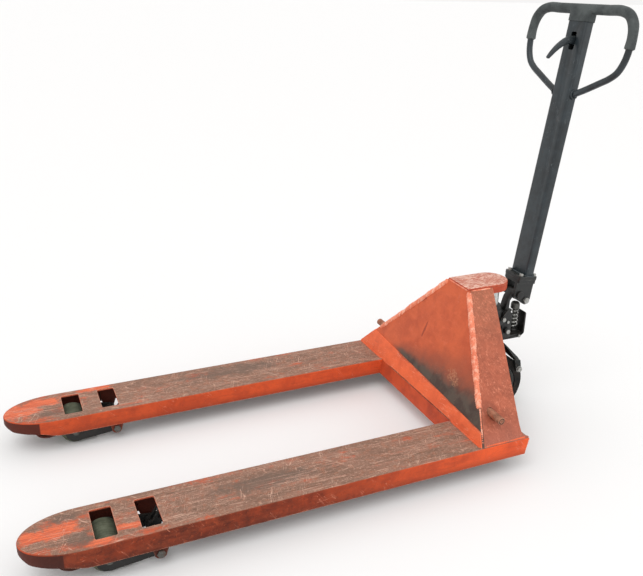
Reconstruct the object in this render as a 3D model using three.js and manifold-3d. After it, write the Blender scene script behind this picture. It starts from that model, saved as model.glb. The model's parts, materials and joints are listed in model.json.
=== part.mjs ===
// Hand pallet truck: two channel forks on a folded A-frame, a steered hydraulic
// pump unit on twin steer wheels, a looped drawbar handle, and the lifting
// linkage (rocker shaft, push rods, load wheel frames) that raises the forks.
//
// Millimetres, +Z up. The forks point to -X, the handle leans to +X, and the
// truck is symmetric about the plane y = 0. Everything inside the group is
// drawn in the "heel frame": x = 0 at the rear corner of the forks, z = 0 on
// the top face of the forks. The group is then shifted so that the row's
// origin is the centre of the footprint on the floor.

import * as THREE from 'three';
import { mergeVertices } from 'three/addons/utils/BufferGeometryUtils.js';
import { ConvexGeometry } from 'three/addons/geometries/ConvexGeometry.js';
import Module from 'manifold-3d';

const wasm = await Module();
wasm.setup();

// ---------------------------------------------------------------- dimensions
const GAP = 0.3;                 // running or mating gap between neighbours
const H = 95;                    // fork top above the floor, lowered
const LIFT = 95;                 // travel of the frame
const ORIGIN_X = 465.24;         // shift from the heel frame to the row frame

const FORK = { len: 1244, w: 150, yc: 267.5, h: 48, t: 5, tipH: 30, tipX: -1115, r: 6 };
const WIN1 = { x0: -1092, x1: -1045, hw: 51 };
const WIN2 = { x0: -994, x1: -949, hw: 51 };
const CRANK_SLOT = { x0: -132, x1: -34, y0: 226, y1: 258 };

const PANEL = { x0: -146, k: 0.405, top: 300.7, t: 6, halfW: 342.5, ky: 0.9593 };
const REAR = { x0: -23, k: 0.26 };
const CAP = { x0: -24, yc: 50, xc: 82, r: 50, z0: 301, z1: 307, skirt: 26, t: 5 };

const SHAFT = { x: -87, z: 60, r: 10, end: 331 };        // rocker shaft
const THRUST_PIN = { x: 38, z: 107.5, r: 6 };
const CRANK_PIN = { x: -64.9, z: 1.9, r: 5 };
const ROD_Y = 242;
const LUG_PIN = { x: -939.9, z: -24, r: 5 };
const WF_PIVOT = { x: -962, z: -62, r: 7 };              // load wheel frame pivot
const ROLLER = { x: -1068.5, z: -57, r: 38, hw: 45, axle: 10 };

const STEER_X = 95;                                       // steering and ram axis
const RAM = { r: 20, z0: 92, z1: 292.7 };
const BARREL_R = 34;
const STEER_WHEEL = { x: 90, z: -5, r: 90, y0: 25, y1: 75, hub: 62, axle: 10 };
const PIVOT = { x: 172, z: 252, r: 8 };                   // drawbar pivot
const PRESS = { x: 196, z: 232, r: 12 };                  // pressure roller
const PLUNGER = { x: 184, r: 6, cap: 13.3, z1: 219 };

const LEAN = 7.68 * Math.PI / 180;                        // handle at rest
const HANDLE_O = { x: 197, z: 320 };                      // tube foot
const TUBE = { x: 30, y: 70, r: 8, t: 3, u0: -11.7, u1: 706 };
const LOOP = { rod: 8.6, grip: 13.6, top: 722 };

// ----------------------------------------------------------------- materials
const paint = () => new THREE.MeshStandardMaterial({ color: 0xb4502e, roughness: 0.62, metalness: 0.15 });
const black = () => new THREE.MeshStandardMaterial({ color: 0x24272a, roughness: 0.55, metalness: 0.25 });
const cast = () => new THREE.MeshStandardMaterial({ color: 0x43474a, roughness: 0.65, metalness: 0.5 });
const steel = () => new THREE.MeshStandardMaterial({ color: 0x9a9a96, roughness: 0.35, metalness: 0.9 });
const rusty = () => new THREE.MeshStandardMaterial({ color: 0x6b3f2a, roughness: 0.8, metalness: 0.5 });
const rubber = () => new THREE.MeshStandardMaterial({ color: 0x191919, roughness: 0.8, metalness: 0 });
const gripMat = () => new THREE.MeshStandardMaterial({ color: 0x4a4f50, roughness: 0.7, metalness: 0 });
const poly = () => new THREE.MeshStandardMaterial({ color: 0x5f6453, roughness: 0.6, metalness: 0 });

// ------------------------------------------------------------------- helpers
const jack = new THREE.Group();
jack.position.set(ORIGIN_X, 0, H);

function clean(geo) {
  const g = geo.index ? geo.clone() : geo.clone();
  for (const n of Object.keys(g.attributes)) if (n !== 'position') g.deleteAttribute(n);
  return mergeVertices(g, 1e-4);
}
function solid(geo) {
  const g = clean(geo);
  return new wasm.Manifold(new wasm.Mesh({
    numProp: 3,
    vertProperties: new Float32Array(g.attributes.position.array),
    triVerts: new Uint32Array(g.index.array),
  }));
}
function toGeo(m) {
  const mesh = m.getMesh();
  const g = new THREE.BufferGeometry();
  const n = mesh.numProp, v = mesh.vertProperties;
  const p = new Float32Array((v.length / n) * 3);
  for (let i = 0; i < v.length / n; i++) {
    p[3 * i] = v[n * i]; p[3 * i + 1] = v[n * i + 1]; p[3 * i + 2] = v[n * i + 2];
  }
  g.setAttribute('position', new THREE.BufferAttribute(p, 3));
  g.setIndex(new THREE.BufferAttribute(new Uint32Array(mesh.triVerts), 1));
  return g;
}
const add = (...g) => toGeo(g.slice(1).reduce((a, b) => a.add(solid(b)), solid(g[0])));
const cut = (a, ...g) => toGeo(g.reduce((m, b) => m.subtract(solid(b)), solid(a)));
const both = (a, b) => toGeo(solid(a).intersect(solid(b)));

function box(x0, x1, y0, y1, z0, z1) {
  const g = new THREE.BoxGeometry(x1 - x0, y1 - y0, z1 - z0);
  g.translate((x0 + x1) / 2, (y0 + y1) / 2, (z0 + z1) / 2);
  return g;
}
function cylY(x, z, r, y0, y1, n = 16) {
  const g = new THREE.CylinderGeometry(r, r, y1 - y0, n);
  g.translate(x, (y0 + y1) / 2, z);
  return g;
}
function cylZ(x, y, r, z0, z1, n = 16) {
  const g = new THREE.CylinderGeometry(r, r, z1 - z0, n);
  g.rotateX(Math.PI / 2);
  g.translate(x, y, (z0 + z1) / 2);
  return g;
}
function hexY(x, z, r, y0, y1) { return cylY(x, z, r, y0, y1, 6); }
// Solid of revolution about a vertical axis, from a profile of [radius, z].
function latheZ(x, y, profile, n = 24) {
  const g = new THREE.LatheGeometry(profile.map(([r, z]) => new THREE.Vector2(r, z)), n);
  g.rotateX(Math.PI / 2);
  g.translate(x, y, 0);
  return fixWinding(g);
}
// Solid of revolution about an axis along Y, from a profile of [radius, y].
function latheY(x, z, profile, n = 24) {
  const g = new THREE.LatheGeometry(profile.map(([r, y]) => new THREE.Vector2(r, y)), n);
  g.translate(x, 0, z);
  return fixWinding(g);
}
function volume(g) {
  const p = g.attributes.position, ix = g.index;
  let v = 0;
  const a = new THREE.Vector3(), b = new THREE.Vector3(), c = new THREE.Vector3();
  for (let i = 0; i < ix.count; i += 3) {
    a.fromBufferAttribute(p, ix.getX(i)); b.fromBufferAttribute(p, ix.getX(i + 1)); c.fromBufferAttribute(p, ix.getX(i + 2));
    v += a.dot(b.clone().cross(c)) / 6;
  }
  return v;
}
function fixWinding(geo) {
  const g = clean(geo);
  const tri = [];
  const p = g.attributes.position;
  const a = new THREE.Vector3(), b = new THREE.Vector3(), c = new THREE.Vector3();
  for (let i = 0; i < g.index.count; i += 3) {
    const t = [g.index.getX(i), g.index.getX(i + 1), g.index.getX(i + 2)];
    if (t[0] === t[1] || t[1] === t[2] || t[0] === t[2]) continue;
    a.fromBufferAttribute(p, t[0]); b.fromBufferAttribute(p, t[1]); c.fromBufferAttribute(p, t[2]);
    if (b.clone().sub(a).cross(c.clone().sub(a)).length() < 1e-9) continue;
    tri.push(...t);
  }
  g.setIndex(tri);
  if (volume(g) < 0) {
    const ix = g.index.array;
    for (let i = 0; i < ix.length; i += 3) { const t = ix[i]; ix[i] = ix[i + 1]; ix[i + 1] = t; }
  }
  return g;
}
function mirrorY(geo) {
  const g = clean(geo);
  g.scale(1, -1, 1);
  const ix = g.index.array;
  for (let i = 0; i < ix.length; i += 3) { const t = ix[i]; ix[i] = ix[i + 1]; ix[i + 1] = t; }
  return g;
}
function shapeOf(pts) {
  const s = new THREE.Shape();
  s.moveTo(pts[0][0], pts[0][1]);
  for (const [x, y] of pts.slice(1)) s.lineTo(x, y);
  s.closePath();
  return s;
}
// Plate whose outline is [x, z] points, standing in the XZ plane from y0 to y1.
function plateXZ(pts, y0, y1) {
  const g = new THREE.ExtrudeGeometry(shapeOf(pts), { depth: y1 - y0, bevelEnabled: false });
  g.rotateX(Math.PI / 2);
  g.translate(0, y1, 0);
  return fixWinding(g);
}
// Plate whose outline is [x, y] points, lying flat from z0 to z1.
function plateXY(pts, z0, z1) {
  const g = new THREE.ExtrudeGeometry(shapeOf(pts), { depth: z1 - z0, bevelEnabled: false });
  g.translate(0, 0, z0);
  return fixWinding(g);
}
function hull(points) {
  return fixWinding(new ConvexGeometry(points.map(([x, y, z]) => new THREE.Vector3(x, y, z))));
}
// Outline of a link: round ends at each centre, joined by tangents.
function link(ax, az, ar, bx, bz, br, n = 4) {
  const pts = [];
  const d = Math.atan2(bz - az, bx - ax), L = Math.hypot(bx - ax, bz - az);
  const off = Math.acos((ar - br) / L);
  for (let i = 0; i <= n; i++) {
    const t = d + off + (2 * Math.PI - 2 * off) * (i / n);
    pts.push([ax + ar * Math.cos(t), az + ar * Math.sin(t)]);
  }
  for (let i = 0; i <= n; i++) {
    const t = d - off + (2 * off) * (i / n);
    pts.push([bx + br * Math.cos(t), bz + br * Math.sin(t)]);
  }
  return pts;
}
const slotY = (ax, az, bx, bz, r, y0, y1) => plateXZ(link(ax, az, r, bx, bz, r, 3), y0, y1);

function node(name, geo, material, parent = jack) {
  const m = new THREE.Mesh(clean(geo), material);
  m.name = name;
  parent.add(m);
  return m;
}
function pair(name, leftGeo, material) {      // left is the -Y side
  node(`${name}_left`, leftGeo, material());
  node(`${name}_right`, mirrorY(leftGeo), material());
}

// --------------------------------------------------------------------- forks
// Drawn about y = 0 and moved to the left side at y = -FORK.yc.
function forkOutline(inset) {
  const hw = FORK.w / 2 - inset, pts = [];
  const x1 = FORK.tipX, a = FORK.len + FORK.tipX - inset;
  pts.push([0 - (inset ? -20 : 0), -hw]);
  const n = 10;
  for (let i = 0; i <= n; i++) {
    const t = -Math.PI / 2 - Math.PI * (i / n);
    const c = Math.cos(t), s = Math.sin(t);
    pts.push([x1 + a * c, hw * s]);
  }
  pts.push([0 - (inset ? -20 : 0), hw]);
  return pts;
}
function fork() {
  let g = plateXY(forkOutline(0), -FORK.h, 0);
  g = cut(g, plateXY(forkOutline(FORK.t), -FORK.h - 10, -FORK.t));
  g = cut(g,
    box(WIN1.x0, WIN1.x1, -WIN1.hw, WIN1.hw, -20, 5),
    box(WIN2.x0, WIN2.x1, -WIN2.hw, WIN2.hw, -20, 5),
    box(CRANK_SLOT.x0, CRANK_SLOT.x1, FORK.yc - CRANK_SLOT.y1, FORK.yc - CRANK_SLOT.y0, -20, 5),
    // lower edge rises towards the tip
    plateXZ([[-1300, -12], [-1300, -90], [-1100, -90], [-1100, -FORK.h], [-1166, -36], [-1225, -32], [-1244, -22]], -90, 90),
    // the heel under the frame is dressed down for welding
    box(-150.5, 20, -90, 90, -0.2, 5),
    // rear end slopes in under the heel
    plateXZ([[0, 0], [20, 0], [20, -90], [-10, -90], [-10, -FORK.h]], -90, 90));
  g.translate(0, -FORK.yc, 0);
  return g;
}

// cross bars under the fork top behind each window pair, joining the side walls
function forkRib() {
  const g = box(-860, -852, -70.5, 70.5, -44, -4.5);
  const c = cut(g, box(-870, -840, 10, 42, -60, -4), box(-870, -840, -80, 80, -4, 5));
  c.translate(0, -FORK.yc, 0);
  return c;
}

// U bracket that hangs the load wheel frame's pivot below each fork
function pivotBracket() {
  const tab = link(-962, -62, 14, -960, -20, 20, 5);
  const t1 = plateXZ(tab, 64.4, 70.5), t2 = plateXZ(tab, -70.5, -64.4);
  const top = box(-947, -940, -70.5, 70.5, -10, -4.5);
  const s1 = box(-975, -940, 64.4, 70.5, -30, -4.5), s2 = box(-975, -940, -70.5, -64.4, -30, -4.5);
  let g = add(t1, s1, top, s2, t2);
  g = both(g, box(-1000, -900, -71, 71, -90, -4.5));
  g = cut(g, cylY(WF_PIVOT.x, WF_PIVOT.z, WF_PIVOT.r, -80, 80, 12));
  g.translate(0, -FORK.yc, 0);
  return g;
}

function pivotPin() {
  const g = cylY(WF_PIVOT.x, WF_PIVOT.z, WF_PIVOT.r, -75, 75, 12);   // pressed into the lugs
  g.translate(0, -FORK.yc, 0);
  return g;
}
pair('pivot_pin', pivotPin(), steel);

// curved skid under each tip that climbs a pallet board
function tipSkid() {
  const pts = [];
  for (let i = 0; i <= 8; i++) {
    const t = Math.PI * (1 + i / 8);
    pts.push([-1138 + 32 * Math.cos(t), -38 + 20 * Math.sin(t)]);
  }
  pts.push([-1106, -4.5], [-1112, -4.5]);
  for (let i = 0; i <= 8; i++) {
    const t = Math.PI * (2 - i / 8);
    pts.push([-1138 + 26 * Math.cos(t), -38 + 15 * Math.sin(t)]);
  }
  pts.push([-1164, -4.5], [-1170, -4.5]);
  const g = plateXZ(pts, -58, 58);
  g.translate(0, -FORK.yc, 0);
  return g;
}
// each fork is one weldment: channel, rib, pivot bracket and skid
pair('fork', add(fork(), forkRib(), pivotBracket(), tipSkid()), paint);

// ------------------------------------------------------------------- A-frame
const px = (z) => PANEL.x0 + PANEL.k * z;                 // front face of the panel
const py = (z) => PANEL.halfW - PANEL.ky * z;             // outer half width
const rx = (z) => REAR.x0 + REAR.k * z;                   // rear edge of the sides
const SIDE_T = 8.3;                                       // side sheet, measured along y

function frontPanel() {
  const z0 = 0.3, z1 = PANEL.top, t = 6.5;
  const pts = [];
  for (const [z, o] of [[z0, 0], [z1, 0]]) {
    for (const s of [-1, 1]) { pts.push([px(z), s * py(z), z], [px(z) + t, s * py(z), z]); }
  }
  return hull(pts);
}

// kick strip welded across the foot of the panel, higher on one side
function kickStrip() {
  const o = -0.3, t = 3.2, pts = [];
  const zl = 30, zr = 58;                                 // top edge at -y and +y
  for (const [y, z] of [[-py(1), 1], [py(1), 1], [-py(zl), zl], [py(zr), zr]]) {
    pts.push([px(z) + o, y, z], [px(z) + o - t, y, z]);
  }
  return hull(pts);
}
node('kick_strip', kickStrip(), paint());

function crossBeam() {
  return add(plateXZ([[-146, -0.3], [-139.5, -0.3], [-148.5, -46], [-155, -46]], -192.2, 192.2),
    box(-150, -118, -192.2, 192.2, -46, -40));
}
node('cross_beam', crossBeam(), paint());

function sidePanel() {
  const t = 6.5 + GAP, pts = [];
  const z0 = 0.3, z1 = PANEL.top;
  const outer = [[px(z0) + t, z0], [px(z1) + t, z1], [rx(z1), z1], [rx(26), 26], [rx(26) + 4, 10], [0, z0]];
  let g = [];
  for (const [x, z] of outer) { g.push([x, -py(z), z], [x, -py(z) + SIDE_T, z]); }
  let s = hull(g);
  s = cut(s, cylY(SHAFT.x, SHAFT.z, SHAFT.r + 0.7, -400, -200, 16));
  // the rear edge runs straight down, then flares back over the heel
  s = cut(s, plateXZ([[rx(z1) + 0.01, z1 + 1], [rx(26), 26], [rx(26) + 4, 10], [2, -4], [90, -4], [90, z1 + 1]], -400, -40));
  return s;
}
pair('side_panel', sidePanel(), paint);

function capOutline(off) {
  const pts = [[CAP.x0 + off, CAP.yc - off], [CAP.x0 + off, -CAP.yc + off]];
  for (let i = 0; i <= 12; i++) {
    const t = -Math.PI / 2 + Math.PI * (i / 12);
    pts.push([CAP.xc + (CAP.r - off) * Math.cos(t), (CAP.r - off) * Math.sin(t)]);
  }
  return pts.reverse();
}
function topCap() {
  const plate = plateXY(capOutline(0), CAP.z0, CAP.z1);
  let skirt = cut(plateXY(capOutline(0), CAP.z1 - CAP.skirt, CAP.z0 + 1), plateXY(capOutline(CAP.t), CAP.z1 - 60, CAP.z1 + 1));
  skirt = cut(skirt, box(-60, 56, -80, 80, 200, CAP.z0 - 0.02));
  return add(plate, skirt);
}
node('top_cap', topCap(), paint());

node('ram_seat', latheZ(STEER_X, 0, [[0, 293], [26, 293], [26, 300.7], [0, 300.7]], 20), steel());
node('ram', latheZ(STEER_X, 0, [[0, RAM.z0], [RAM.r - 2, RAM.z0], [RAM.r, RAM.z0 + 2], [RAM.r, RAM.z1 - 2], [RAM.r - 2, RAM.z1], [0, RAM.z1]], 20), steel());

// plates behind the front panel that carry the rocker shaft
function shaftBracket() {
  const pts = [[px(14) + 6, 14], [px(112) + 6, 112], [-72, 84], [-68, 60], [-74, 40], [-100, 14]];
  return cut(plateXZ(pts, -112, -104), cylY(SHAFT.x, SHAFT.z, SHAFT.r + 0.4, -130, -90, 16));
}
node('front_panel', add(frontPanel(), shaftBracket(), mirrorY(shaftBracket())), paint());

// -------------------------------------------------------------- lift linkage
// rocker shaft with its ends standing out through the side panels
const rockerShaft = cylY(SHAFT.x, SHAFT.z, SHAFT.r, -SHAFT.end, SHAFT.end, 16);

function rockerYoke() {
  const arm = link(SHAFT.x, SHAFT.z, 21, THRUST_PIN.x, THRUST_PIN.z, 11, 5);
  const a1 = plateXZ(arm, -36, -27), a2 = plateXZ(arm, 27, 36);
  const sleeve = cylY(SHAFT.x, SHAFT.z, 18, -90, 90, 16);
  let g = add(a1, sleeve, a2);
  const L = Math.hypot(THRUST_PIN.x - SHAFT.x, THRUST_PIN.z - SHAFT.z);
  const ux = (THRUST_PIN.x - SHAFT.x) / L, uz = (THRUST_PIN.z - SHAFT.z) / L;
  return cut(g, slotY(SHAFT.x + ux * (L - 9.2), SHAFT.z + uz * (L - 9.2), THRUST_PIN.x, THRUST_PIN.z, THRUST_PIN.r + 1.4, -50, 50));
}

function crank() {
  const arm = link(SHAFT.x, SHAFT.z, 16.5, CRANK_PIN.x, CRANK_PIN.z, 11, 5);
  let g = add(plateXZ(arm, -ROD_Y - 5, -ROD_Y + 5), cylY(SHAFT.x, SHAFT.z, 16, -ROD_Y - 5, -ROD_Y + 16, 16));
  const L = Math.hypot(CRANK_PIN.x - SHAFT.x, CRANK_PIN.z - SHAFT.z);
  const ux = (CRANK_PIN.x - SHAFT.x) / L, uz = (CRANK_PIN.z - SHAFT.z) / L;
  return cut(g, slotY(SHAFT.x + ux * (L - 4.6), SHAFT.z + uz * (L - 4.6), CRANK_PIN.x, CRANK_PIN.z, CRANK_PIN.r + 1.4, -300, -150));
}
node('rocker_shaft', add(rockerShaft, rockerYoke(), crank(), mirrorY(crank())), rusty());

function pushRod() {
  const y = -ROD_Y;
  const bar = box(LUG_PIN.x, -96, y - 5, y + 5, -29, -17);
  const nose = cylY(LUG_PIN.x, LUG_PIN.z, 9, y - 5, y + 5, 12);
  const block = box(-108, -94, y - 11.5, y + 11.5, -29, -15);
  const ear = [[-100, -29], [-60, -29], [-54, -20], [-55, 2]];
  for (let i = 0; i <= 5; i++) {
    const t = Math.PI * (i / 5);
    ear.push([CRANK_PIN.x + 9 * Math.cos(t), CRANK_PIN.z + 9 * Math.sin(t)]);
  }
  ear.push([-74, -12], [-84, -15], [-100, -15]);
  let g = add(bar, nose, block, plateXZ(ear, y - 11.5, y - 6), plateXZ(ear, y + 6, y + 11.5));
  // pins pressed into the rod at both ends
  return add(g, cylY(CRANK_PIN.x, CRANK_PIN.z, CRANK_PIN.r, y - 13, y + 13, 12),
    cylY(LUG_PIN.x, LUG_PIN.z, LUG_PIN.r, y - 15, y + 15, 12));
}
pair('push_rod', pushRod(), cast);

// load wheel frame: two side plates, a pivot sleeve and the lug for the rod
function wheelFrame() {
  const yc = -FORK.yc;
  const plate = link(ROLLER.x, ROLLER.z, 29, WF_PIVOT.x, WF_PIVOT.z, 14, 6);
  const p1 = plateXZ(plate, yc - 55, yc - 49), p2 = plateXZ(plate, yc + 49, yc + 55);
  const sleeve = cylY(WF_PIVOT.x, WF_PIVOT.z, 13, yc - 58, yc + 58, 16);
  const lug = link(WF_PIVOT.x, WF_PIVOT.z, 12, LUG_PIN.x, LUG_PIN.z, 10, 5);
  const l1 = plateXZ(lug, -ROD_Y - 12.5, -ROD_Y - 6), l2 = plateXZ(lug, -ROD_Y + 6, -ROD_Y + 12.5);
  const brace = hull([[-1018, yc - 52, -66], [-1018, yc + 52, -66], [-1010, yc - 52, -48], [-1010, yc + 52, -48],
    [-1004, yc - 52, -66], [-1004, yc + 52, -66], [-1000, yc - 52, -50], [-1000, yc + 52, -50]]);
  let g = add(p1, sleeve, p2, brace, l1, l2);
  g = cut(g, cylY(WF_PIVOT.x, WF_PIVOT.z, WF_PIVOT.r + 0.4, yc - 80, yc + 80),
    cylY(ROLLER.x, ROLLER.z, ROLLER.axle + 0.3, yc - 80, yc + 80));
  const L = Math.hypot(LUG_PIN.x - WF_PIVOT.x, LUG_PIN.z - WF_PIVOT.z);
  const ux = (LUG_PIN.x - WF_PIVOT.x) / L, uz = (LUG_PIN.z - WF_PIVOT.z) / L;
  return cut(g, slotY(WF_PIVOT.x + ux * (L - 6.4), WF_PIVOT.z + uz * (L - 6.4), LUG_PIN.x, LUG_PIN.z, LUG_PIN.r + 1.4, -300, -200));
}
pair('wheel_frame', wheelFrame(), black);

function rollerAxle() {
  const yc = -FORK.yc;
  return add(cylY(ROLLER.x, ROLLER.z, ROLLER.axle, yc - 57, yc + 57),
    hexY(ROLLER.x, ROLLER.z, 9.5, yc - 61, yc - 56), hexY(ROLLER.x, ROLLER.z, 9.5, yc + 56, yc + 61));
}
pair('roller_axle', rollerAxle(), steel);

function roller() {
  const yc = -FORK.yc, w = ROLLER.hw, r = ROLLER.r;
  return latheY(ROLLER.x, ROLLER.z, [[24.3, yc - w], [r - 3, yc - w], [r, yc - w + 3], [r, yc + w - 3], [r - 3, yc + w], [24.3, yc + w], [24.3, yc - w]], 16);
}
pair('load_roller', roller(), poly);
function rollerCore() {
  const yc = -FORK.yc, w = ROLLER.hw + 1.5;
  return latheY(ROLLER.x, ROLLER.z, [[ROLLER.axle + 0.4, yc - w], [24, yc - w], [24, yc + w], [ROLLER.axle + 0.4, yc + w], [ROLLER.axle + 0.4, yc - w]], 16);
}
pair('roller_core', rollerCore(), cast);

// ------------------------------------------------------ pump and steer wheels
// swivel ring that carries the frame's linkage and lets the pump turn in it
function swivelRing() {
  const ring = latheZ(STEER_X, 0, [[BARREL_R + 1, 102], [44, 102], [44, 112], [BARREL_R + 1, 112], [BARREL_R + 1, 102]], 16);
  const lug = link(STEER_X - 44, 107, 6, THRUST_PIN.x, THRUST_PIN.z, 11, 5);
  let g = add(ring, cut(plateXZ(lug, -24, 24), cylZ(STEER_X, 0, BARREL_R + 6, 60, 160), cylZ(STEER_X, 0, 47.5, 60, 102)));
  return cut(g, cylY(THRUST_PIN.x, THRUST_PIN.z, THRUST_PIN.r + 0.3, -50, 50));
}
node('swivel_ring', swivelRing(), cast());
node('thrust_pin', cylY(THRUST_PIN.x, THRUST_PIN.z, THRUST_PIN.r, -41, 41), steel());
node('thrust_bearing', latheZ(STEER_X, 0, [[BARREL_R + 0.6, 98.8], [43.5, 98.8], [43.5, 101.7], [BARREL_R + 0.6, 101.7], [BARREL_R + 0.6, 98.8]], 20), steel());

// barrel with its shoulder, plunger block and the lug for the drawbar pivot
function pumpBody() {
  const barrel = latheZ(STEER_X, 0, [[0, 88.5], [46, 88.5], [46, 98.5], [BARREL_R, 98.5], [BARREL_R, 210], [30, 214], [30, 224], [28, 226], [0, 226]], 20);
  const block = plateXZ([[STEER_X, 115], [191, 115], [205, 128], [205, 190], [199, 196], [199, 127], [162, 127], [162, 199], [STEER_X, 206]], -30, 30);
  const stem = plateXZ([[134, 198], [152, 198], [153.5, 232], [160, 240], [PIVOT.x, PIVOT.z], [164, 266], [156, 256], [146, 240]], -13.5, 13.5);
  const boss = cylY(PIVOT.x, PIVOT.z, 16, -13.5, 13.5, 16);
  const guide = cylZ(PLUNGER.x, 0, 14.4, 120, 135, 16);
  const sleeve = cylZ(PLUNGER.x, 0, 9, 130, 150, 16);
  let g = add(barrel, block, guide, sleeve, stem, boss);
  g = cut(g, cylZ(STEER_X, 0, RAM.r + 0.5, 91.2, 240, 20), cylZ(PLUNGER.x, 0, PLUNGER.r + 0.3, 118.5, 170, 16),
    cylY(PIVOT.x, PIVOT.z, PIVOT.r + 0.3, -40, 40));
  return g;
}
node('pump_body', pumpBody(), black());

function reservoir() {
  const ring = latheZ(STEER_X, 0, [[BARREL_R + 0.4, 122], [42, 122], [44, 125], [44, 200], [42, 204], [BARREL_R + 0.4, 204], [BARREL_R + 0.4, 122]], 20);
  return cut(ring, box(STEER_X - 0.4, 200, -60, 60, 60, 260));
}
node('reservoir', reservoir(), black());
node('filler_plug', hexY(78, 176, 7, -50, -43.4), steel());

// column between the wheels that holds the axle
function axleColumn() {
  const neck = cylZ(STEER_X, 0, 22, 30, 88.2, 16);
  const block = plateXZ([[58, -32], [122, -32], [130, -5], [118, 40], [104, 62], [80, 62], [66, 40], [52, -5]], -22, 22);
  return cut(add(neck, block), cylY(STEER_WHEEL.x, STEER_WHEEL.z, STEER_WHEEL.axle + 0.3, -40, 40));
}
node('axle_column', axleColumn(), black());
node('steer_axle', cylY(STEER_WHEEL.x, STEER_WHEEL.z, STEER_WHEEL.axle, -86, 86, 16), steel());
function axleCap() {
  return latheY(STEER_WHEEL.x, STEER_WHEEL.z, [[STEER_WHEEL.axle + 0.4, -82], [17, -82], [17, -78], [STEER_WHEEL.axle + 0.4, -78], [STEER_WHEEL.axle + 0.4, -82]], 16);
}
pair('axle_washer', axleCap(), steel);

function steerHub() {
  const a = STEER_WHEEL.axle + 0.4;
  return latheY(STEER_WHEEL.x, STEER_WHEEL.z, [[a, -77], [24, -77], [26, -70], [50, -66], [55, -73], [62, -73], [62, -27], [55, -27], [50, -34], [26, -30], [24, -23.5], [a, -23.5], [a, -77]], 16);
}
pair('steer_hub', steerHub(), cast);
function tyre() {
  const r = STEER_WHEEL.r;
  return latheY(STEER_WHEEL.x, STEER_WHEEL.z, [[63, -75], [r - 8, -75], [r - 2.5, -72.5], [r, -66], [r, -34], [r - 2.5, -27.5], [r - 8, -25], [63, -25], [63, -75]], 28);
}
pair('steer_tyre', tyre(), rubber);

// cast toe guard over the rear outer side of each steer wheel
function guard() {
  const arm = hull([[117, -14, 88.8], [117, -32, 88.8], [141, -14, 88.8], [117, -14, 112], [117, -32, 104], [133, -18, 110],
    [134, -84, 84], [150, -80, 80], [134, -84, 76], [150, -80, 70], [134, -92, 82], [150, -92, 74]]);
  const plate = hull([[131, -80.5, 76], [151, -80.5, 74], [131, -92, 80], [151, -92, 76], [143, -80.5, 38], [159, -80.5, 36], [143, -92, 38], [159, -92, 36]]);
  let g = add(arm, plate);
  g = cut(g, cylZ(STEER_X, 0, 46.4, 60, 98.8, 20), cylZ(STEER_X, 0, 49, 98.5, 113, 20), box(0, 300, -31, 31, 113.2, 300), box(40, 134, -160, -36, 78, 130));
  return g;
}
pair('toe_guard', guard(), cast);
pair('guard_bolt', hexY(149, 47, 8, -98.5, -92.3), steel);

// plunger, its return spring and cap
node('plunger', add(cylZ(PLUNGER.x, 0, PLUNGER.r, 140, 214, 16), latheZ(PLUNGER.x, 0, [[0, 199], [PLUNGER.cap, 199], [PLUNGER.cap, 212], [PLUNGER.cap - 3, PLUNGER.z1], [0, PLUNGER.z1]], 16)), steel());
class Helix extends THREE.Curve {
  getPoint(t, out = new THREE.Vector3()) {
    const a = t * Math.PI * 2 * 5;
    return out.set(PLUNGER.x + 11.4 * Math.cos(a), 11.4 * Math.sin(a), 137.4 + 59.4 * t);
  }
}
function spring() {
  const s = new THREE.Shape();
  for (let i = 0; i < 5; i++) {
    const a = i / 5 * Math.PI * 2;
    if (i) s.lineTo(1.8 * Math.cos(a), 1.8 * Math.sin(a)); else s.moveTo(1.8, 0);
  }
  s.closePath();
  return fixWinding(new THREE.ExtrudeGeometry(s, { steps: 50, extrudePath: new Helix(), bevelEnabled: false }));
}
node('plunger_spring', spring(), steel());

// lever on the pump's side that opens the lowering valve
function valveLever() {
  const g = add(plateXZ(link(118, 186, 9, 136, 214, 6, 3), -38, -34.5), plateXZ(link(118, 186, 9, 104, 170, 5, 3), -38, -34.5));
  return cut(g, cylY(118, 186, 4.4, -50, -20, 16));
}
node('valve_lever', valveLever(), steel());
node('valve_stem', add(cylY(118, 186, 4, -41, -30.3, 16), hexY(118, 186, 7, -41.5, -38.4)), steel());

// -------------------------------------------------------------------- handle
// Drawn in the handle's own frame: z along the tube, x to the rear, leaning.
const handle = new THREE.Group();
handle.position.set(HANDLE_O.x, 0, HANDLE_O.z);
handle.rotation.y = LEAN;
jack.add(handle);
// a heel-frame point [x, z] in the handle's frame
function toHandle(x, z) {
  const dx = x - HANDLE_O.x, dz = z - HANDLE_O.z;
  return [dx * Math.cos(LEAN) - dz * Math.sin(LEAN), dx * Math.sin(LEAN) + dz * Math.cos(LEAN)];
}
const [pvx, pvz] = toHandle(PIVOT.x, PIVOT.z);
const [plx, plz] = toHandle(PRESS.x, PRESS.z);

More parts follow.
